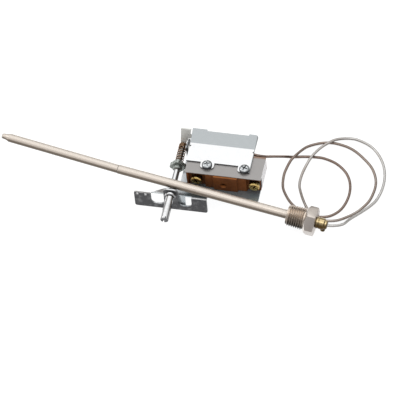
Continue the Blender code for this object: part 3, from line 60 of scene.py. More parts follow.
# The studio
FLOOR_SIZE = 8.0
FLOOR_TOP = -0.0002
FLOOR_GLOW = 0.90  # how bright the camera and reflections see it where no light falls on it
FLOOR_SEEN = 0.30  # the grey that they see, which keeps shadows as faint as in the photograph
FLOOR_GREY = 0.90  # the pale grey that the light on the object bounces off
LAMPS = (("key", (0.17, -0.37, 1.55), 1.1), ("side", (-1.2, 0.2, 1.1), 1.0))  # name, place, watts
LAMP_SIZE = 0.50

# The route of the capillary, as in the part's source
CAPILLARY_RADIUS = 0.00135
CAPILLARY_ROUTE = (
    (0.0640, 0.0506, 0.0377), (0.0746, 0.0469, 0.0374), (0.0835, 0.0488, 0.0340), (0.0905, 0.0595, 0.0221),
    (0.0975, 0.0719, 0.0080), (0.1052, 0.0771, 0.0024), (0.1150, 0.0795, 0.0016), (0.1250, 0.0805, 0.0015),
    (0.1350, 0.0800, 0.0015), (0.1480, 0.0750, 0.0015), (0.1590, 0.0650, 0.0015), (0.1650, 0.0520, 0.0015),
    (0.1662, 0.0370, 0.0015), (0.1624, 0.0220, 0.0015), (0.1545, 0.0125, 0.0015), (0.1450, 0.0090, 0.0015),
    (0.1330, 0.0095, 0.0015), (0.1220, 0.0145, 0.0015), (0.1120, 0.0225, 0.0015), (0.1040, 0.0340, 0.0015),
    (0.1009, 0.0425, 0.0015), (0.0998, 0.0545, 0.0017), (0.1011, 0.0630, 0.0028), (0.1036, 0.0704, 0.0048),
    (0.1063, 0.0748, 0.0059), (0.1109, 0.0837, 0.0044), (0.1158, 0.0912, 0.0026), (0.1236, 0.0965, 0.0017),
    (0.1311, 0.0992, 0.0016), (0.1391, 0.1002, 0.0015), (0.1467, 0.0993, 0.0015), (0.1556, 0.0968, 0.0015),
    (0.1643, 0.0920, 0.0015), (0.1742, 0.0837, 0.0015), (0.1820, 0.0752, 0.0015), (0.1871, 0.0653, 0.0015),
    (0.1894, 0.0555, 0.0015), (0.1890, 0.0452, 0.0015), (0.1864, 0.0340, 0.0015), (0.1804, 0.0236, 0.0015),
    (0.1750, 0.0173, 0.0016), (0.1683, 0.0110, 0.0024), (0.1614, 0.0058, 0.0035), (0.1539, 0.0032, 0.0043),
    (0.1470, 0.0032, 0.0045), (0.1380, 0.0062, 0.0046), (0.1310, 0.0136, 0.0046), (0.1252, 0.0234, 0.0036),
    (0.1200, 0.0348, 0.0022), (0.1168, 0.0449, 0.0015), (0.1168, 0.0570, 0.0016), (0.1195, 0.0689, 0.0034),
    (0.1227, 0.0779, 0.0049), (0.1267, 0.0861, 0.0047), (0.1310, 0.0924, 0.0046), (0.1366, 0.0980, 0.0049),
    (0.1420, 0.1029, 0.0040), (0.1514, 0.1074, 0.0019), (0.1612, 0.1077, 0.0015), (0.1745, 0.1025, 0.0015),
    (0.1843, 0.0938, 0.0015), (0.1920, 0.0813, 0.0015), (0.1962, 0.0668, 0.0015), (0.1966, 0.0514, 0.0015),
    (0.1936, 0.0374, 0.0016), (0.1893, 0.0286, 0.0026), (0.1830, 0.0189, 0.0045), (0.1738, 0.0057, 0.0080),
    (0.1678, -0.0045, 0.0110),
)
CAPILLARY_STEPS = 520
CUP_CENTRE = Vector((0.0420, 0.0570, 0.03735))
CUP_RADIUS = 0.0110

# The pipe fitting and its gland, on the axis from the bulb's sleeve
SLEEVE_END = Vector((-0.0524, 0.0128, 0.0349))
HEX_CENTRE = Vector((0.1381, -0.0070, 0.0146))
HEX_FLATS = 0.0254
HEX_HALF = 0.0104 / 2  # half its length
HEX_TURN = radians(-7.6)
PIPE_RADIUS = 0.01065
PIPE_LENGTH = 0.0180
PIPE_PITCH = 0.00221
PIPE_RIDGE = 0.00135
PIPE_TAPER = 1 / 32  # of the radius, along the thread
CREST = 0.0003  # the ridges' height over the CAD's cone
GLAND_LENGTH = 0.0114
GLAND_RADIUS = 0.0056
SET_SCREW_PLACE = 0.0075  # along the gland, from the hexagon
SET_SCREW_TURN = radians(-20)

# The control shaft and its drive screw
SHAFT = Vector((0.0007, 0.0, 0.0216))
SHAFT_RADIUS = 0.003175
STUB_RADIUS = 0.0040
STUB_BACK = -0.0046
SHAFT_FRONT = -0.0318
SHAFT_BACK = 0.0570
CLIP_GROOVE = (0.0033, 0.0047)  # along the shaft
SCREW_START = 0.0290
SCREW_RADIUS = 0.0025
SCREW_PITCH = 0.0010
SCREW_RIDGE = 0.00045

# The return spring between the hub and the lever
SPRING_FRONT = 0.0381
SPRING_BACK = 0.0618
SPRING_RADIUS = 0.0036  # of the wire's middle
SPRING_WIRE = 0.0010
SPRING_TURNS = 10
CLOSED_TURNS = 4  # lie close together, at the back
CLOSED_PITCH = SPRING_WIRE * 1.16
STEPS_PER_TURN = 32
SPRING_MIDDLE = 120  # the step at which its two pieces meet


# ---- finishes, with light and shade painted into their colours

PAINTED_LIGHT_FROM = (-0.12, 0.20, 0.97)  # the way the painted light comes from: faces that point this way are painted the lightest


def wire_up(tree, kind, *given, **settings):
    """A shader node with its settings and its inputs, linked or typed in."""
    node = tree.nodes.new(kind)
    for key, value in settings.items():
        setattr(node, key, value)
    for socket, value in zip(node.inputs, given):
        if isinstance(value, bpy.types.NodeSocket):
            tree.links.new(value, socket)
        elif value is not None:
            socket.default_value = value
    return node


def place_on(tree):
    """The point of the piece that is being shaded, in metres."""
    return wire_up(tree, "ShaderNodeTexCoord").outputs["Object"]


def maths(tree, operation, a, b):
    return wire_up(tree, "ShaderNodeMath", a, b, operation=operation).outputs[0]


def dot(tree, vector, way):
    """How far a vector reaches along a direction."""
    return wire_up(tree, "ShaderNodeVectorMath", vector, way, operation="DOT_PRODUCT").outputs["Value"]


def times(tree, vector, factors):
    return wire_up(tree, "ShaderNodeVectorMath", vector, factors, operation="MULTIPLY").outputs["Vector"]


def span(tree, value, low, high, start=0.0, end=1.0):
    """Runs from start to end while value runs from low to high."""
    return wire_up(tree, "ShaderNodeMapRange", value, low, high, start, end).outputs["Result"]


def noise(tree, point, scale, detail, roughness):
    return wire_up(tree, "ShaderNodeTexNoise", point, None, scale, detail, roughness).outputs["Fac"]


def ramp(tree, factor, *stops):
    """Colours by factor. The first two stops take the places of its own two, and the others are added."""
    node = wire_up(tree, "ShaderNodeValToRGB", factor)
    points = node.color_ramp.elements
    for i, (at, colour) in enumerate(stops):
        point = points[i] if i < 2 else points.new(at)
        point.position = at
        point.color = (*colour, 1.0)
    return node.outputs["Color"]


def mixed(tree, share, first, second):
    """Runs from the first colour to the second by share. Each is linked or typed in."""
    mix = wire_up(tree, "ShaderNodeMix", data_type="RGBA")
    tree.links.new(share, mix.inputs["Factor"])
    for socket, colour in zip(mix.inputs[6:8], (first, second)):
        if isinstance(colour, bpy.types.NodeSocket):
            tree.links.new(colour, socket)
        else:
            socket.default_value = (*colour, 1.0)
    return mix.outputs[2]


def painted_light_finish(name, dark, light, roughness, metallic=1.0, gloss=0.5, grain=900.0, stretch=(1, 1, 1),
           mottle=0.12, bump=0.05, painted_light_slopes=(-0.55, 0.95), second=None, middle=0.55, side=None, painted_pit_shade=None):
    """A surface with light and shade painted into its colour: painted shade where it faces down and painted
    light where it faces up, mottled by noise, with a fine grain.

    The painted light runs from dark to light between the two upward slopes given, by way of the second colour
    at middle. Side is a direction, and the colour painted on the faces that point there, as painted light on
    some finishes and painted shade on others. The pit is a direction and two distances along it, for painted
    shade in a hollow: it is dark up to the first, and as bright as elsewhere from the second on.
    """
    look = bpy.data.materials.new(name)
    look.use_nodes = True
    tree = look.node_tree
    shader = tree.nodes["Principled BSDF"]
    shader.inputs["Metallic"].default_value = metallic
    shader.inputs["Specular IOR Level"].default_value = gloss
    place = place_on(tree)
    facing = wire_up(tree, "ShaderNodeNewGeometry").outputs["Normal"]

    # Painted light: paler as a face turns up towards the light, darker as it turns down, with random mottle
    # added
    painted_light_and_mottle = span(tree, dot(tree, facing, PAINTED_LIGHT_FROM), *painted_light_slopes)
    broad = maths(tree, "SUBTRACT", noise(tree, place, grain * 0.12, 3.0, 0.55), 0.5)
    painted_light_and_mottle = maths(tree, "ADD", painted_light_and_mottle, maths(tree, "MULTIPLY", broad, mottle * 4))
    # Painted shade in a hollow, darker along one direction
    if painted_pit_shade:
        way, low, high = painted_pit_shade
        painted_light_and_mottle = maths(tree, "MULTIPLY", painted_light_and_mottle, span(tree, dot(tree, place, way), low, high))
    stops = [(0.0, dark), (1.0, light)]
    if second:
        stops.append((middle, second))
    colour = ramp(tree, painted_light_and_mottle, *stops)
    # Painted light and shade on the faces that point one way
    if side:
        way, painted_side_colour = side
        colour = mixed(tree, span(tree, dot(tree, facing, way), 0.5, 0.8), colour, painted_side_colour)
    tree.links.new(colour, shader.inputs["Base Color"])

    fine = noise(tree, times(tree, place, stretch), grain, 4.0, 0.6)
    rough = span(tree, fine, 0.3, 0.7, roughness * 0.75, roughness * 1.3)
    tree.links.new(rough, shader.inputs["Roughness"])
    relief = wire_up(tree, "ShaderNodeBump", bump, 0.0001)
    tree.links.new(fine, relief.inputs["Height"])
    tree.links.new(relief.outputs["Normal"], shader.inputs["Normal"])
    return look


def opened(look):
    """A finish's tree, its shader's colour input, and the colour that feeds it."""
    target = look.node_tree.nodes["Principled BSDF"].inputs["Base Color"]
    return look.node_tree, target, target.links[0].from_socket


def painted_light_level_of(colour):
    """What a ramp's colour goes by: in a finish, its painted light and mottle."""
    return colour.node.inputs["Fac"].links[0].from_socket


def bracket_look():
    """Bright zinc sheet with light and shade painted in: painted shade darkens the flange's front, and
    painted light makes the tongue and the plate behind it paler, the plate darker where it faces up, as a
    painted reflection of the block.
    """
    look = painted_light_finish("bracket_zinc", (0.062, 0.062, 0.066), (0.93, 0.94, 0.95), 0.28, metallic=0.6, grain=1500,
                  mottle=0.13, bump=0.06, painted_light_slopes=(0.20, 0.98))
    tree, target, flange = opened(look)
    place = place_on(tree)
    painted_light_and_mottle = painted_light_level_of(flange)
    # Painted light on the tongue and painted reflection on the plate behind it, chosen by where each lies
    tongue = ramp(tree, painted_light_and_mottle, (0.0, (0.65, 0.69, 0.70)), (1.0, (0.93, 0.94, 0.95)))
    plate = ramp(tree, painted_light_and_mottle, (0.0, (0.45, 0.50, 0.53)), (1.0, (0.34, 0.40, 0.43)))
    behind = mixed(tree, span(tree, dot(tree, place, (1, 0, 0)), 0.004, 0.016), tongue, plate)
    whole = mixed(tree, span(tree, dot(tree, place, (0, 1, 0)), 0.0010, 0.0014), flange, behind)
    tree.links.new(whole, target)
    return look


def cover_look():
    """Mauve-grey sheet, painted pale on its right side as painted light, whose rear edge has run coppery."""
    look = painted_light_finish("mauve_grey", (0.15, 0.145, 0.14), (0.485, 0.466, 0.452), 0.42, metallic=0.7, grain=2400,
                  mottle=0.03, bump=0.08, painted_light_slopes=(-0.55, 0.98), side=((1, 0, 0), (0.86, 0.85, 0.86)))
    tree, target, grey = opened(look)
    back = span(tree, dot(tree, place_on(tree), (0, 1, 0)), 0.0404, 0.0424)
    tree.links.new(mixed(tree, back, grey, (0.37, 0.235, 0.170)), target)
    return look


def tube_look():
    """Tinned copper: brown copper where it leaves the head, silvery where it reaches the gland, with painted
    shade and painted highlight by the way each face points.
    """
    look = painted_light_finish("tinned_copper", (0.1, 0.1, 0.1), (0.5, 0.5, 0.5), 0.30, grain=1300, mottle=0.01, bump=0.01)
    tree, target, plain = opened(look)
    run = wire_up(tree, "ShaderNodeAttribute", attribute_name="run").outputs["Fac"]
    patches = noise(tree, place_on(tree), 38.0, 2.0, 0.5)
    run = maths(tree, "ADD", run, maths(tree, "MULTIPLY", patches, 0.35))
    shadow = ramp(tree, run, (0.30, (0.070, 0.038, 0.026)), (0.95, (0.10, 0.085, 0.075)))
    shine = ramp(tree, run, (0.30, (0.32, 0.235, 0.195)), (1.0, (0.80, 0.78, 0.75)),
                 (0.72, (0.44, 0.36, 0.31)))
    # Painted shade and painted highlight, mixed by the painted light's level
    tree.links.new(mixed(tree, painted_light_level_of(plain), shadow, shine), target)
    return look


# Each finish below is painted lighter on top and darker underneath, as painted light and shade. The cover
# plate's zinc also has a grey-blue painted reflection on its tilted rear band and a painted shade along its
# right end.
ZINC = painted_light_finish("bright_zinc", (0.10, 0.10, 0.105), (1.0, 1.0, 1.0), 0.20, grain=1400, mottle=0.003, bump=0.02,
              painted_light_slopes=(0.30, 0.97), second=(0.495, 0.520, 0.528), middle=0.945,
              painted_pit_shade=((-1, 0, 0), -0.0750, -0.0738))
SHAFT_STEEL = painted_light_finish("turned_steel", (0.06, 0.06, 0.065), (0.92, 0.92, 0.92), 0.10, grain=2500,
                     stretch=(1, 6, 1), painted_light_slopes=(-0.3, 0.9), bump=0.03)
HUB = painted_light_finish("cast_zinc", (0.12, 0.13, 0.12), (0.56, 0.60, 0.56), 0.42, grain=1600, mottle=0.14, bump=0.3)
BRONZE = painted_light_finish("bronze_wire", (0.05, 0.022, 0.010), (0.42, 0.27, 0.17), 0.32, grain=2600, mottle=0.10)
# Painted light lifts nearly all of the lever to its pale colour, and faces towards +X get a dark painted
# shade
NICKEL_SHEET = painted_light_finish("nickel_sheet", (0.10, 0.10, 0.09), (1.0, 1.0, 0.945), 0.34, metallic=0.08, grain=1300,
                      mottle=0.04, painted_light_slopes=(-1.2, -0.4), side=((1, 0, 0), (0.05, 0.05, 0.045)))
DARK_SHEET = painted_light_finish("dark_sheet", (0.05, 0.05, 0.055), (0.30, 0.31, 0.32), 0.38, grain=900, mottle=0.08)
PHENOLIC = painted_light_finish("phenolic", (0.095, 0.032, 0.010), (0.47, 0.175, 0.056), 0.42, metallic=0.0, gloss=0.12,
                  grain=420, stretch=(0.5, 1, 2.2), mottle=0.20, bump=0.04, painted_light_slopes=(-0.6, 1.2),
                  second=(0.310, 0.105, 0.030))
BRASS = painted_light_finish("brass", (0.070, 0.042, 0.014), (0.80, 0.63, 0.35), 0.22, grain=1500, mottle=0.05, bump=0.03,
               painted_light_slopes=(0.20, 0.96))
# Painted light on the front of the terminal screws, and painted shade at their back, into their recess in the
# block
TERMINAL = painted_light_finish("terminal_brass", (0.150, 0.105, 0.040), (0.78, 0.57, 0.22), 0.22, grain=5000, mottle=0.26,
                  bump=0.05, painted_light_slopes=(-0.75, 0.10), painted_pit_shade=((0, -1, 0), -0.0152, -0.0134))
# A painted highlight along the top of the bulb and its sleeve, and painted shade underneath
CHAMPAGNE = painted_light_finish("champagne_nickel", (0.150, 0.118, 0.088), (0.92, 0.83, 0.735), 0.28, metallic=0.5,
                   grain=1500, stretch=(0.05, 1, 1), mottle=0.01, bump=0.012, painted_light_slopes=(0.20, 0.80),
                   second=(0.83, 0.72, 0.62), middle=0.40)
# Faces that point towards −X are painted pale, as painted light
FITTING = painted_light_finish("fitting_nickel", (0.60, 0.56, 0.53), (0.90, 0.82, 0.745), 0.34, grain=1300, mottle=0.02,
                 bump=0.04, painted_light_slopes=(-0.60, 0.98), second=(0.41, 0.365, 0.335), middle=0.50,
                 side=((-1, 0, 0), (0.90, 0.85, 0.80)))
THREADED = painted_light_finish("thread_nickel", (0.040, 0.032, 0.024), (0.95, 0.82, 0.70), 0.30, grain=1300, mottle=0.04,
                  bump=0.03, painted_light_slopes=(-0.20, 0.84))
# Painted shade below a height of 41.8 mm, such as round the foot of the cover screws' heads
SCREW_ZINC = painted_light_finish("blue_zinc", (0.05, 0.055, 0.06), (0.70, 0.725, 0.735), 0.18, grain=1800, mottle=0.05,
                    bump=0.03, painted_light_slopes=(0.2, 0.97), painted_pit_shade=((0, 0, 1), 0.0418, 0.0429))
DRIVE_SCREW = painted_light_finish("drive_screw_steel", (0.05, 0.045, 0.04), (0.58, 0.54, 0.49), 0.30, grain=2500)
STEEL = painted_light_finish("plain_steel", (0.15, 0.15, 0.15), (0.7, 0.7, 0.7), 0.3, grain=1500)
SILVER = painted_light_finish("contact_silver", (0.3, 0.3, 0.29), (0.85, 0.85, 0.83), 0.25, grain=2000)
CERAMIC = painted_light_finish("insulating_pin", (0.45, 0.43, 0.39), (0.78, 0.76, 0.70), 0.5, metallic=0.0, grain=1200,
                 mottle=0.04)
PACKING = painted_light_finish("packing", (0.01, 0.01, 0.01), (0.06, 0.06, 0.06), 0.7, metallic=0.0, grain=2000)


# ---- shapes


def axis_frame(point, direction, turn=0.0):
    """A frame at point whose Z runs along direction, and whose Y stays as near to up as it can."""
    along = Vector(direction).normalized()
    side = Vector((0, 0, 1)).cross(along)
    side = side.normalized() if side.length > 1e-6 else Vector((1, 0, 0))
    rotation = Matrix((side, along.cross(side), along)).transposed().to_4x4()
    return Matrix.Translation(point) @ rotation @ Matrix.Rotation(turn, 4, "Z")


def shifted(place, along):
    """The same frame, moved along its Z."""
    return place @ Matrix.Translation((0, 0, along))


def put(name, data):
    """A new object in the scene."""
    obj = bpy.data.objects.new(name, data)
    bpy.context.scene.collection.objects.link(obj)
    return obj


def place_piece(name, mesh, look, body, *nodes, slot=None, smooth=radians(32)):
    """A finished piece that rides on a body, in the place of the nodes that it stands for."""
    mesh.materials.clear()
    mesh.materials.append(look)
    mesh.shade_smooth()
    mesh.set_sharp_from_angle(angle=smooth)
    obj = put(name, mesh)
    if nodes:
        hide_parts(*nodes)
    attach(obj, body)
    return obj


def from_bmesh(bm):
    bmesh.ops.recalc_face_normals(bm, faces=bm.faces)
    mesh = bpy.data.meshes.new("shape")
    bm.to_mesh(mesh)
    bm.free()
    return mesh


def turned(profile, place, sides):
    """A profile of (radius, distance along the axis) points turned round the Z axis of place."""
    bm = bmesh.new()
    points = [bm.verts.new((radius, 0, along)) for radius, along in profile]
    edges = [bm.edges.new(pair) for pair in zip(points, points[1:])]
    if profile[0][0] > 0:
        edges.append(bm.edges.new((points[-1], points[0])))
    bmesh.ops.spin(bm, geom=points + edges, cent=(0, 0, 0), axis=(0, 0, 1), angle=2 * pi, steps=sides,
                   use_merge=True)
    bmesh.ops.remove_doubles(bm, verts=bm.verts, dist=1e-7)
    bm.transform(place)
    return from_bmesh(bm)


def slab(outline, low, high, place):
    """An outline in the XY plane of place, pushed out along its Z."""
    bm = bmesh.new()
    rings = [[bm.verts.new((x, y, z)) for x, y in outline] for z in (low, high)]
    for ring in rings:
        bm.faces.new(ring)
    for i in range(len(outline)):
        bm.faces.new((rings[0][i - 1], rings[0][i], rings[1][i], rings[1][i - 1]))
    bm.transform(place)
    return from_bmesh(bm)


def box_outline(half_x, half_y):
    return [(-half_x, -half_y), (half_x, -half_y), (half_x, half_y), (-half_x, half_y)]


def evaluated(obj):
    """The object's mesh with its modifiers applied, and the object itself removed."""
    bpy.context.view_layer.update()
    mesh = bpy.data.meshes.new_from_object(obj.evaluated_get(bpy.context.evaluated_depsgraph_get()))
    bpy.data.objects.remove(obj)
    return mesh


def carve(mesh, *steps):
    """Applies (operation, mesh) Booleans."""
    body = put("body", mesh)
    tools = []
    for operation, shape in steps:
        tools.append(put("tool", shape))
        step = body.modifiers.new("step", "BOOLEAN")
        step.operation = operation
        step.object = tools[-1]
    result = evaluated(body)
    for tool in tools:
        bpy.data.objects.remove(tool)
    return result


def eased(mesh, width, segments=2, angle=radians(35)):
    """Flat faces joined up again, and every sharp edge rounded."""
    bm = bmesh.new()
    bm.from_mesh(mesh)
    bmesh.ops.remove_doubles(bm, verts=bm.verts, dist=2e-6)
    bmesh.ops.dissolve_limit(bm, angle_limit=radians(0.6), verts=bm.verts, edges=bm.edges)
    obj = put("eased", from_bmesh(bm))
    bevel = obj.modifiers.new("bevel", "BEVEL")
    bevel.width = width
    bevel.segments = segments
    bevel.limit_method = "ANGLE"
    bevel.angle_limit = angle
    return evaluated(obj)


# ---- Geometry Nodes


class Tree:
    """A Geometry Nodes tree with named inputs, which ends in Realize Instances and Set Material."""

    def __init__(self, name, inputs):
        self.tree = bpy.data.node_groups.new(name, "GeometryNodeTree")
        kinds = {int: "NodeSocketInt", float: "NodeSocketFloat", bpy.types.Material: "NodeSocketMaterial"}
        shape = {"name": "Geometry", "socket_type": "NodeSocketGeometry"}
        self.tree.interface.new_socket(in_out="INPUT", **shape)
        for key, value in inputs.items():
            self.tree.interface.new_socket(key, in_out="INPUT", socket_type=kinds[type(value)])
        self.tree.interface.new_socket(in_out="OUTPUT", **shape)
        self.given = self.tree.nodes.new("NodeGroupInput").outputs
        self.inputs = inputs

    def node(self, kind, *numbered, settings=None, **named):
        """A node. Its inputs are given in their order, or by name with _ for a space."""
        made = self.tree.nodes.new(kind)
        for key, value in (settings or {}).items():
            setattr(made, key, value)
        pairs = [*enumerate(numbered), *((key.replace("_", " "), value) for key, value in named.items())]
        for key, value in pairs:
            if isinstance(value, bpy.types.NodeSocket):
                self.tree.links.new(value, made.inputs[key])
            else:
                made.inputs[key].default_value = value
        return made

    def math(self, operation, a, b=0.0):
        return self.node("ShaderNodeMath", a, b, settings={"operation": operation}).outputs[0]

    def clamp(self, value, low, high):
        return self.math("MINIMUM", self.math("MAXIMUM", value, low), high)

    def grow(self, geometry, mesh):
        """Ends the tree, runs it on the mesh and returns what it makes as a plain mesh."""
        real = self.node("GeometryNodeRealizeInstances", geometry).outputs[0]
        painted = self.node("GeometryNodeSetMaterial", real, Material=self.given["Look"]).outputs[0]
        end = self.tree.nodes.new("NodeGroupOutput")
        self.tree.links.new(painted, end.inputs[0])
        obj = put("grown", mesh)
        step = obj.modifiers.new("grow", "NODES")
        step.node_group = self.tree
        for item in self.tree.interface.items_tree:
            if item.in_out == "INPUT" and item.name in self.inputs:
                step[item.identifier] = self.inputs[item.name]
        return evaluated(obj)


def thread(place, look, radius, length, pitch, depth, taper, sides, per_turn):
    """A screw thread: a grid wrapped round the axis, its ridges climbing one pitch a turn.

    The ridges die out at both ends. The grid's first and last rows close it on the axis.
    """
    rings = int(length / pitch * per_turn) + 3
    t = Tree("thread", {"Radius": radius, "Length": length, "Pitch": pitch, "Depth": depth, "Taper": taper,
                        "Sides": sides, "Rings": rings, "Look": look})
    g = t.given
    grid = t.node("GeometryNodeMeshGrid", Size_X=1.0, Size_Y=1.0, Vertices_X=t.math("ADD", g["Sides"], 1.0),
                  Vertices_Y=g["Rings"]).outputs["Mesh"]
    at = t.node("ShaderNodeSeparateXYZ", t.node("GeometryNodeInputPosition").outputs[0]).outputs
    turn = t.math("ADD", at[0], 0.5)
    last = t.math("SUBTRACT", g["Rings"], 1.0)
    row = t.math("ROUND", t.math("MULTIPLY", t.math("ADD", at[1], 0.5), last))
    inner = t.math("MINIMUM", t.math("MINIMUM", row, t.math("SUBTRACT", last, row)), 1.0)
    share = t.math("DIVIDE", t.math("SUBTRACT", row, 1.0), t.math("SUBTRACT", last, 2.0))
    z = t.clamp(t.math("MULTIPLY", g["Length"], share), 0.0, g["Length"])

    phase = t.math("ADD", t.math("DIVIDE", z, g["Pitch"]), turn)
    wave = t.math("MULTIPLY", t.math("PINGPONG", phase, 0.5), 2.0)
    ridge = t.clamp(t.math("MULTIPLY", t.math("SUBTRACT", wave, 0.12), 1.32), 0.0, 1.0)
    end = t.math("MINIMUM", z, t.math("SUBTRACT", g["Length"], z))
    alive = t.math("MINIMUM", t.math("DIVIDE", end, g["Pitch"]), 1.0)
    sunk = t.math("MULTIPLY", g["Depth"], t.math("SUBTRACT", 1.0, t.math("MULTIPLY", ridge, alive)))

    crest = t.math("ADD", g["Radius"], t.math("MULTIPLY", g["Taper"], z))
    reach = t.math("MULTIPLY", t.math("SUBTRACT", crest, sunk), inner)
    angle = t.math("MULTIPLY", turn, 2 * pi)
    point = t.node("ShaderNodeCombineXYZ", t.math("MULTIPLY", reach, t.math("COSINE", angle)),
                   t.math("MULTIPLY", reach, t.math("SINE", angle)), z).outputs[0]
    moved = t.node("GeometryNodeSetPosition", Geometry=grid, Position=point).outputs[0]
    merged = t.node("GeometryNodeMergeByDistance", Geometry=moved, Distance=1e-7).outputs[0]
    bm = bmesh.new()
    bm.from_mesh(t.grow(merged, bpy.data.meshes.new("seed")))
    bm.transform(place)
    return from_bmesh(bm)


def round_wire(points, radius, look, sides):
    """A round wire with closed ends along a line of points. Its attribute "run" is 0 to 1 along it."""
    t = Tree("wire", {"Radius": radius, "Sides": sides, "Look": look})
    line = bpy.data.meshes.new("line")
    line.from_pydata([tuple(p) for p in points], [(i, i + 1) for i in range(len(points) - 1)], [])
    curve = t.node("GeometryNodeMeshToCurve", Mesh=t.given["Geometry"]).outputs[0]
    run = t.node("GeometryNodeSplineParameter").outputs["Factor"]
    curve = t.node("GeometryNodeStoreNamedAttribute", settings={"domain": "POINT"}, Geometry=curve,
                   Name="run", Value=run).outputs[0]
    ring = t.node("GeometryNodeCurvePrimitiveCircle", Resolution=t.given["Sides"],
                  Radius=t.given["Radius"]).outputs["Curve"]
    tube = t.node("GeometryNodeCurveToMesh", Curve=curve, Profile_Curve=ring, Fill_Caps=True).outputs[0]
    return t.grow(tube, line)


def smooth_path(route, count):
    """Evenly spaced points on a smooth curve through the route, and the curve's length."""
    ends = [2 * route[0] - route[1], *route, 2 * route[-1] - route[-2]]
    dense = []
    for a, b, c, d in zip(ends, ends[1:], ends[2:], ends[3:]):
        for k in range(24):
            t = k / 24
            bend, twist = 2 * a - 5 * b + 4 * c - d, 3 * b - a - 3 * c + d
            dense.append((2 * b + (c - a) * t + bend * t * t + twist * t**3) / 2)
    dense.append(ends[-2])
    lengths = [0.0]
    for a, b in zip(dense, dense[1:]):
        lengths.append(lengths[-1] + (b - a).length)
    path, i = [], 0
    for k in range(count):
        target = lengths[-1] * k / (count - 1)
        while i < len(dense) - 2 and lengths[i + 1] < target:
            i += 1
        path.append(dense[i].lerp(dense[i + 1], (target - lengths[i]) / (lengths[i + 1] - lengths[i])))
    return path, lengths[-1]


# ---- pieces

FITTING_AXIS = axis_frame(HEX_CENTRE, HEX_CENTRE - SLEEVE_END, HEX_TURN)
SHAFT_AXIS = axis_frame(SHAFT, (0, 1, 0))


def capillary():
    """The metal tube, from the diaphragm cup through its loops into the gland."""
    outward = Vector(CAPILLARY_ROUTE[1]) - CUP_CENTRE
    outward.z = 0
    start = CUP_CENTRE + outward.normalized() * (CUP_RADIUS + 0.0006)
    face = HEX_HALF + GLAND_LENGTH
    route = [start, *map(Vector, CAPILLARY_ROUTE), FITTING_AXIS @ Vector((0, 0, face + 0.0015)),
             FITTING_AXIS @ Vector((0, 0, face - GLAND_LENGTH * 0.8))]
    path, length = smooth_path(route, CAPILLARY_STEPS)
    look = tube_look()
    mesh = round_wire(path, CAPILLARY_RADIUS, look, 12)
    obj = place_piece("capillary_tube", mesh, look, "frame", "capillary", slot="capillary_copper")


def fitting():
    """Hexagon with turned corners and a socket for the gland, and the taper thread in front of it."""
    corner = HEX_FLATS / sqrt(3)
    chamfer = corner - HEX_FLATS / 2
    outline = [(corner * cos(k * pi / 3), corner * sin(k * pi / 3)) for k in range(6)]
    trim = turned([(0, -HEX_HALF), (HEX_FLATS / 2 - 0.0013, -HEX_HALF), (corner + 0.0002, 0.0030 - HEX_HALF),
                   (corner + 0.0002, HEX_HALF - chamfer * 0.28), (corner - chamfer * 0.6, HEX_HALF),
                   (0, HEX_HALF)], FITTING_AXIS, 96)
    socket = turned([(0, HEX_HALF - 0.0050), (0.0046, HEX_HALF - 0.0050), (0.0046, HEX_HALF - 0.0003),
                     (0.0050, HEX_HALF + 0.002), (0, HEX_HALF + 0.002)], FITTING_AXIS, 64)
    hexagon = slab(outline, -HEX_HALF, HEX_HALF, FITTING_AXIS)
    hexagon = eased(carve(hexagon, ("INTERSECT", trim), ("DIFFERENCE", socket)), 0.00022, 2, radians(25))
    place_piece("fitting_hexagon", hexagon, FITTING, "frame", "pipe_fitting", slot="fitting_nickel")
    mesh = thread(shifted(FITTING_AXIS, -HEX_HALF - PIPE_LENGTH), THREADED, length=PIPE_LENGTH,
                  radius=PIPE_RADIUS - PIPE_LENGTH * PIPE_TAPER + CREST, pitch=PIPE_PITCH, depth=PIPE_RIDGE,
                  taper=PIPE_TAPER, sides=96, per_turn=10)
    place_piece("fitting_thread", mesh, THREADED, "frame", slot="fitting_nickel", smooth=radians(50))


def gland():
    """Turned gland nut with a groove and a stepped nose, and the slotted set screw in its side."""
    r, seat, nose = GLAND_RADIUS, HEX_HALF + 0.0003, HEX_HALF + GLAND_LENGTH
    profile = [(0.0014, HEX_HALF - 0.0040), (0.0042, HEX_HALF - 0.0040), (0.0042, seat), (r - 0.0005, seat),
               (r, HEX_HALF + 0.0008), (r, HEX_HALF + 0.0024), (r - 0.0004, HEX_HALF + 0.0028),
               (r - 0.0004, HEX_HALF + 0.0032), (r, HEX_HALF + 0.0036), (r, nose - 0.0034),
               (r - 0.0004, nose - 0.0030), (r - 0.0011, nose - 0.0024), (r - 0.0011, nose - 0.0010),
               (r - 0.0017, nose - 0.0003), (r - 0.0026, nose), (0.0014, nose)]
    place_piece("gland", turned(profile, FITTING_AXIS, 72), BRASS, "frame", "gland_nut", slot="gland_brass")

    screw = shifted(FITTING_AXIS, HEX_HALF + SET_SCREW_PLACE)
    screw = screw @ Matrix.Rotation(SET_SCREW_TURN - HEX_TURN, 4, "Z") @ Matrix.Rotation(radians(90), 4, "X")
    head = r + 0.0003
    body = turned([(0, 0.0020), (0.0015, 0.0020), (0.0015, head), (0.0022, head), (0.0023, head + 0.0002),
                   (0.0023, head + 0.0010), (0.0019, head + 0.0016), (0.0010, head + 0.0018),
                   (0, head + 0.0018)], screw, 40)
    slot = slab(box_outline(0.0003, 0.004), head + 0.0012, head + 0.004, screw)
    place_piece("gland_screw", carve(body, ("DIFFERENCE", slot)), BRASS, "frame", "gland_set_screw",
                slot="set_screw_brass")


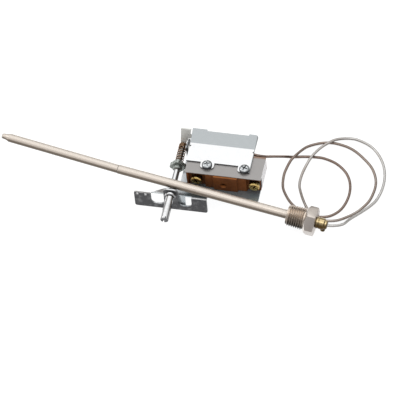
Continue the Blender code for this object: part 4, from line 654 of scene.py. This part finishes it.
def shaft():
    """Control shaft with a thick front end, slotted and flatted, and the drive screw behind it."""
    r, thick = SHAFT_RADIUS, STUB_RADIUS
    groove_front, groove_back = CLIP_GROOVE
    body = turned([(0, SHAFT_FRONT), (thick - 0.0007, SHAFT_FRONT), (thick - 0.0002, SHAFT_FRONT + 0.0002),
                   (thick, SHAFT_FRONT + 0.0007), (thick, STUB_BACK - 0.0004), (thick - 0.0004, STUB_BACK),
                   (r, STUB_BACK), (r, groove_front), (r - 0.0006, groove_front), (r - 0.0006, groove_back),
                   (r, groove_back), (r, SCREW_START - 0.0006), (r - 0.0004, SCREW_START),
                   (0, SCREW_START)], SHAFT_AXIS, 72)
    slot = slab(box_outline(0.00065, 0.008), SHAFT_FRONT - 0.004, SHAFT_FRONT + 0.0018,
                SHAFT_AXIS @ Matrix.Rotation(radians(20), 4, "Z"))
    flat = slab([(-0.008, -0.012), (0.008, -0.012), (0.008, 0.0008 - thick), (-0.008, 0.0008 - thick)],
                SHAFT_FRONT - 0.004, SHAFT_FRONT + 0.0170, SHAFT_AXIS)
    place_piece("shaft_rod", carve(body, ("DIFFERENCE", slot), ("DIFFERENCE", flat)), SHAFT_STEEL, "shaft",
                "control_shaft", slot="shaft_steel")
    low = SCREW_START - 0.0004
    mesh = thread(shifted(SHAFT_AXIS, low), DRIVE_SCREW, radius=SCREW_RADIUS, length=SHAFT_BACK - low,
                  pitch=SCREW_PITCH, depth=SCREW_RIDGE, taper=0.0, sides=40, per_turn=6)
    place_piece("shaft_thread", mesh, DRIVE_SCREW, "shaft", slot="shaft_steel", smooth=radians(50))


def spring():
    """The return spring's wire, as two pieces that meet at its middle, both riding on the frame."""
    open_turns = SPRING_TURNS - CLOSED_TURNS
    open_pitch = (SPRING_BACK - SPRING_FRONT - CLOSED_TURNS * CLOSED_PITCH) / open_turns
    points = []
    for k in range(SPRING_TURNS * STEPS_PER_TURN + 1):
        turn = k / STEPS_PER_TURN
        along = open_pitch * min(turn, open_turns) + CLOSED_PITCH * max(0.0, turn - open_turns)
        across = SPRING_RADIUS * cos(2 * pi * turn), SPRING_RADIUS * sin(2 * pi * turn)
        points.append(SHAFT_AXIS @ Vector((*across, SPRING_FRONT + along)))
    front, rear = (round_wire(half, SPRING_WIRE / 2, BRONZE, 10)
                   for half in (points[:SPRING_MIDDLE + 1], points[SPRING_MIDDLE:]))
    front = place_piece("spring_front_turns", front, BRONZE, "frame", "return_spring", slot="spring_bronze")
    rear = place_piece("spring_rear_turns", rear, BRONZE, "frame", slot="spring_bronze")
    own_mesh(front)
    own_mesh(rear)


def recessed_screw(name, node, place, look, slot, radius, length, head, height, turn, domed, flat):
    """Screw with a rounded head, a cross recess and a slot through it.

    Domed is the share of the head's height below the dome, and flat the share of its width that stays flat.
    """
    profile = [(0, -length), (radius * 0.7, -length), (radius, -length + radius * 0.5), (radius, 0),
               (head * 0.95, 0), (head, height * 0.08), (head, height * domed)]
    for k in range(1, 9):
        a = k / 8 * pi / 2
        profile.append((head * (flat + (1 - flat) * cos(a)), height * (domed + (1 - domed) * sin(a))))
    profile.append((0, height))
    cross = place @ Matrix.Rotation(turn, 4, "Z")
    across = cross @ Matrix.Rotation(pi / 2, 4, "Z")
    recess, slit = box_outline(head * 0.125, head * 0.56), box_outline(head * 0.10, head * 1.4)
    tools = [slab(recess, height * 0.36, height * 2, arm) for arm in (cross, across)]
    tools.append(slab(slit, height * 0.70, height * 2, cross))
    mesh = carve(turned(profile, place, 56), *(("DIFFERENCE", tool) for tool in tools))
    place_piece(name, eased(mesh, head * 0.015, 1, radians(40)), look, "frame", node, slot=slot)


def screws():
    """The two screws of the cover plate and the two of the terminals."""
    for side, x, turn in (("left", 0.0325, 20), ("right", 0.0690, 70)):
        place = axis_frame((x, 0.0248, 0.0413), (0, 0, 1))
        recessed_screw("cover_fixing_" + side, "cover_screw_" + side, place, SCREW_ZINC, "cover_screw_zinc",
                       radius=0.0019, length=0.0100, head=0.0050, height=0.0026, turn=radians(turn),
                       domed=0.30, flat=0.42)
    for side, x, turn in (("left", 0.0235, 25), ("right", 0.0799, 60)):
        place = axis_frame((x, 0.0168, 0.0300), (0, -1, 0))
        recessed_screw("terminal_fixing_" + side, "terminal_screw_" + side, place, TERMINAL, "terminal_brass",
                       radius=0.0017, length=0.0032, head=0.0052, height=0.0040, turn=radians(turn),
                       domed=0.80, flat=0.72)


def carried_over():
    """Nodes whose own shape is right: those that show get rounded edges, the others only their finish."""
    for node, look, width, body in (
            ("base_bracket", bracket_look(), 0.00030, "frame"),
            ("shaft_bushing", SHAFT_STEEL, 0.00012, "frame"),
            ("switch_block", PHENOLIC, 0.00025, "frame"), ("switch_cover", cover_look(), 0.00018, "frame"),
            ("cover_plate", ZINC, 0.00022, "frame"), ("rear_frame", DARK_SHEET, 0.00018, "frame"),
            ("range_lever", NICKEL_SHEET, 0.00018, "lever"), ("adjuster_hub", HUB, 0.00030, "hub"),
            ("terminal_plate_left", BRASS, 0.00012, "frame"),
            ("terminal_plate_right", BRASS, 0.00012, "frame"),
            ("calibration_screw", TERMINAL, 0.00010, "frame"), ("diaphragm_cup", STEEL, 0.00012, "frame"),
            ("pivot_pin_left", STEEL, 0.00008, "frame"), ("pivot_pin_right", STEEL, 0.00008, "frame"),
            ("capillary_ferrule", BRASS, 0.00008, "frame"), ("shaft_clip", DARK_SHEET, 0.00008, "shaft")):
        smooth = radians(1.5 if node == "cover_plate" else 20)
        place_piece(node + "_eased", eased(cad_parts[node].data.copy(), width), look, body, node,
                    smooth=smooth)
    for node, look in (
            ("frame_rivet_left", STEEL), ("frame_rivet_right", STEEL), ("block_screw_left", SCREW_ZINC),
            ("block_screw_right", SCREW_ZINC), ("fixed_contact", SILVER), ("moving_contact", SILVER),
            ("contact_blade", BRONZE), ("plunger", CERAMIC), ("diaphragm_disc", STEEL),
            ("diaphragm_button", STEEL), ("gland_packing", PACKING), ("sensing_bulb", CHAMPAGNE),
            ("support_sleeve", CHAMPAGNE)):
        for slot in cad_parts[node].material_slots:
            slot.material = look


# ---- studio


def floor():
    """A pale floor. The camera and reflections see it near to white, with faint shadows."""
    bpy.ops.mesh.primitive_grid_add(x_subdivisions=2, y_subdivisions=2, size=FLOOR_SIZE,
                                    location=(0, 0, FLOOR_TOP))
    sheet = bpy.context.object
    sheet.name = "floor"
    look = bpy.data.materials.new("pale_floor")
    look.use_nodes = True
    tree = look.node_tree
    inputs = tree.nodes["Principled BSDF"].inputs
    inputs["Roughness"].default_value = 0.9
    inputs["Specular IOR Level"].default_value = 0.1
    inputs["Emission Color"].default_value = (1.0, 1.0, 1.0, 1.0)
    ray = wire_up(tree, "ShaderNodeLightPath").outputs
    seen = maths(tree, "MAXIMUM", ray["Is Camera Ray"], ray["Is Glossy Ray"])
    tree.links.new(maths(tree, "MULTIPLY", seen, FLOOR_GLOW), inputs["Emission Strength"])
    tree.links.new(span(tree, seen, 0.0, 1.0, FLOOR_GREY, FLOOR_SEEN), inputs["Base Color"])
    sheet.data.materials.append(look)


def sky():
    """Soft light, brightest from above, dimmer from the front and dark low down behind the object."""
    world = bpy.data.worlds.new("studio")
    bpy.context.scene.world = world
    world.use_nodes = True
    tree = world.node_tree
    way = wire_up(tree, "ShaderNodeTexCoord").outputs["Generated"]
    above = ramp(tree, dot(tree, way, (-0.10, 0.30, 0.95)), (0.0, (0.46, 0.46, 0.47)),
                 (0.95, (1.04, 1.05, 1.06)), (0.35, (0.58, 0.58, 0.59)), (0.62, (0.74, 0.74, 0.74)),
                 (0.84, (0.96, 0.96, 0.96)))
    front = ramp(tree, span(tree, dot(tree, way, (0.0, -0.45, 0.90)), -0.4, 0.6), (0.30, (0.20, 0.20, 0.20)),
                 (0.72, (1.0, 1.0, 1.0)), (0.46, (0.28, 0.28, 0.28)))
    background = tree.nodes["Background"]
    background.inputs["Strength"].default_value = 1.0
    tree.links.new(times(tree, above, front), background.inputs["Color"])


def lamps():
    for name, spot, power in LAMPS:
        light = bpy.data.lights.new(name, "AREA")
        light.shape = "SQUARE"
        light.size = LAMP_SIZE
        light.energy = power
        lamp = put(name, light)
        lamp.location = spot
        lamp.rotation_euler = (-Vector(spot)).to_track_quat("-Z", "Y").to_euler()


def camera():
    view = bpy.data.cameras.new("camera")
    view.sensor_width = SENSOR
    view.lens = SENSOR * DISTANCE / (PICTURE * PIXEL)
    view.clip_end = 50.0
    eye = put("camera", view)
    back = RIGHT.cross(UP).normalized()
    turn = Matrix((RIGHT.normalized(), UP.normalized(), back)).transposed().to_4x4()
    eye.matrix_world = Matrix.Translation(AIM + back * DISTANCE) @ turn
    bpy.context.scene.camera = eye
    bpy.context.scene.view_settings.view_transform = "Standard"


floor()
sky()
lamps()
camera()
fitting()
gland()
capillary()
shaft()
spring()
screws()
carried_over()
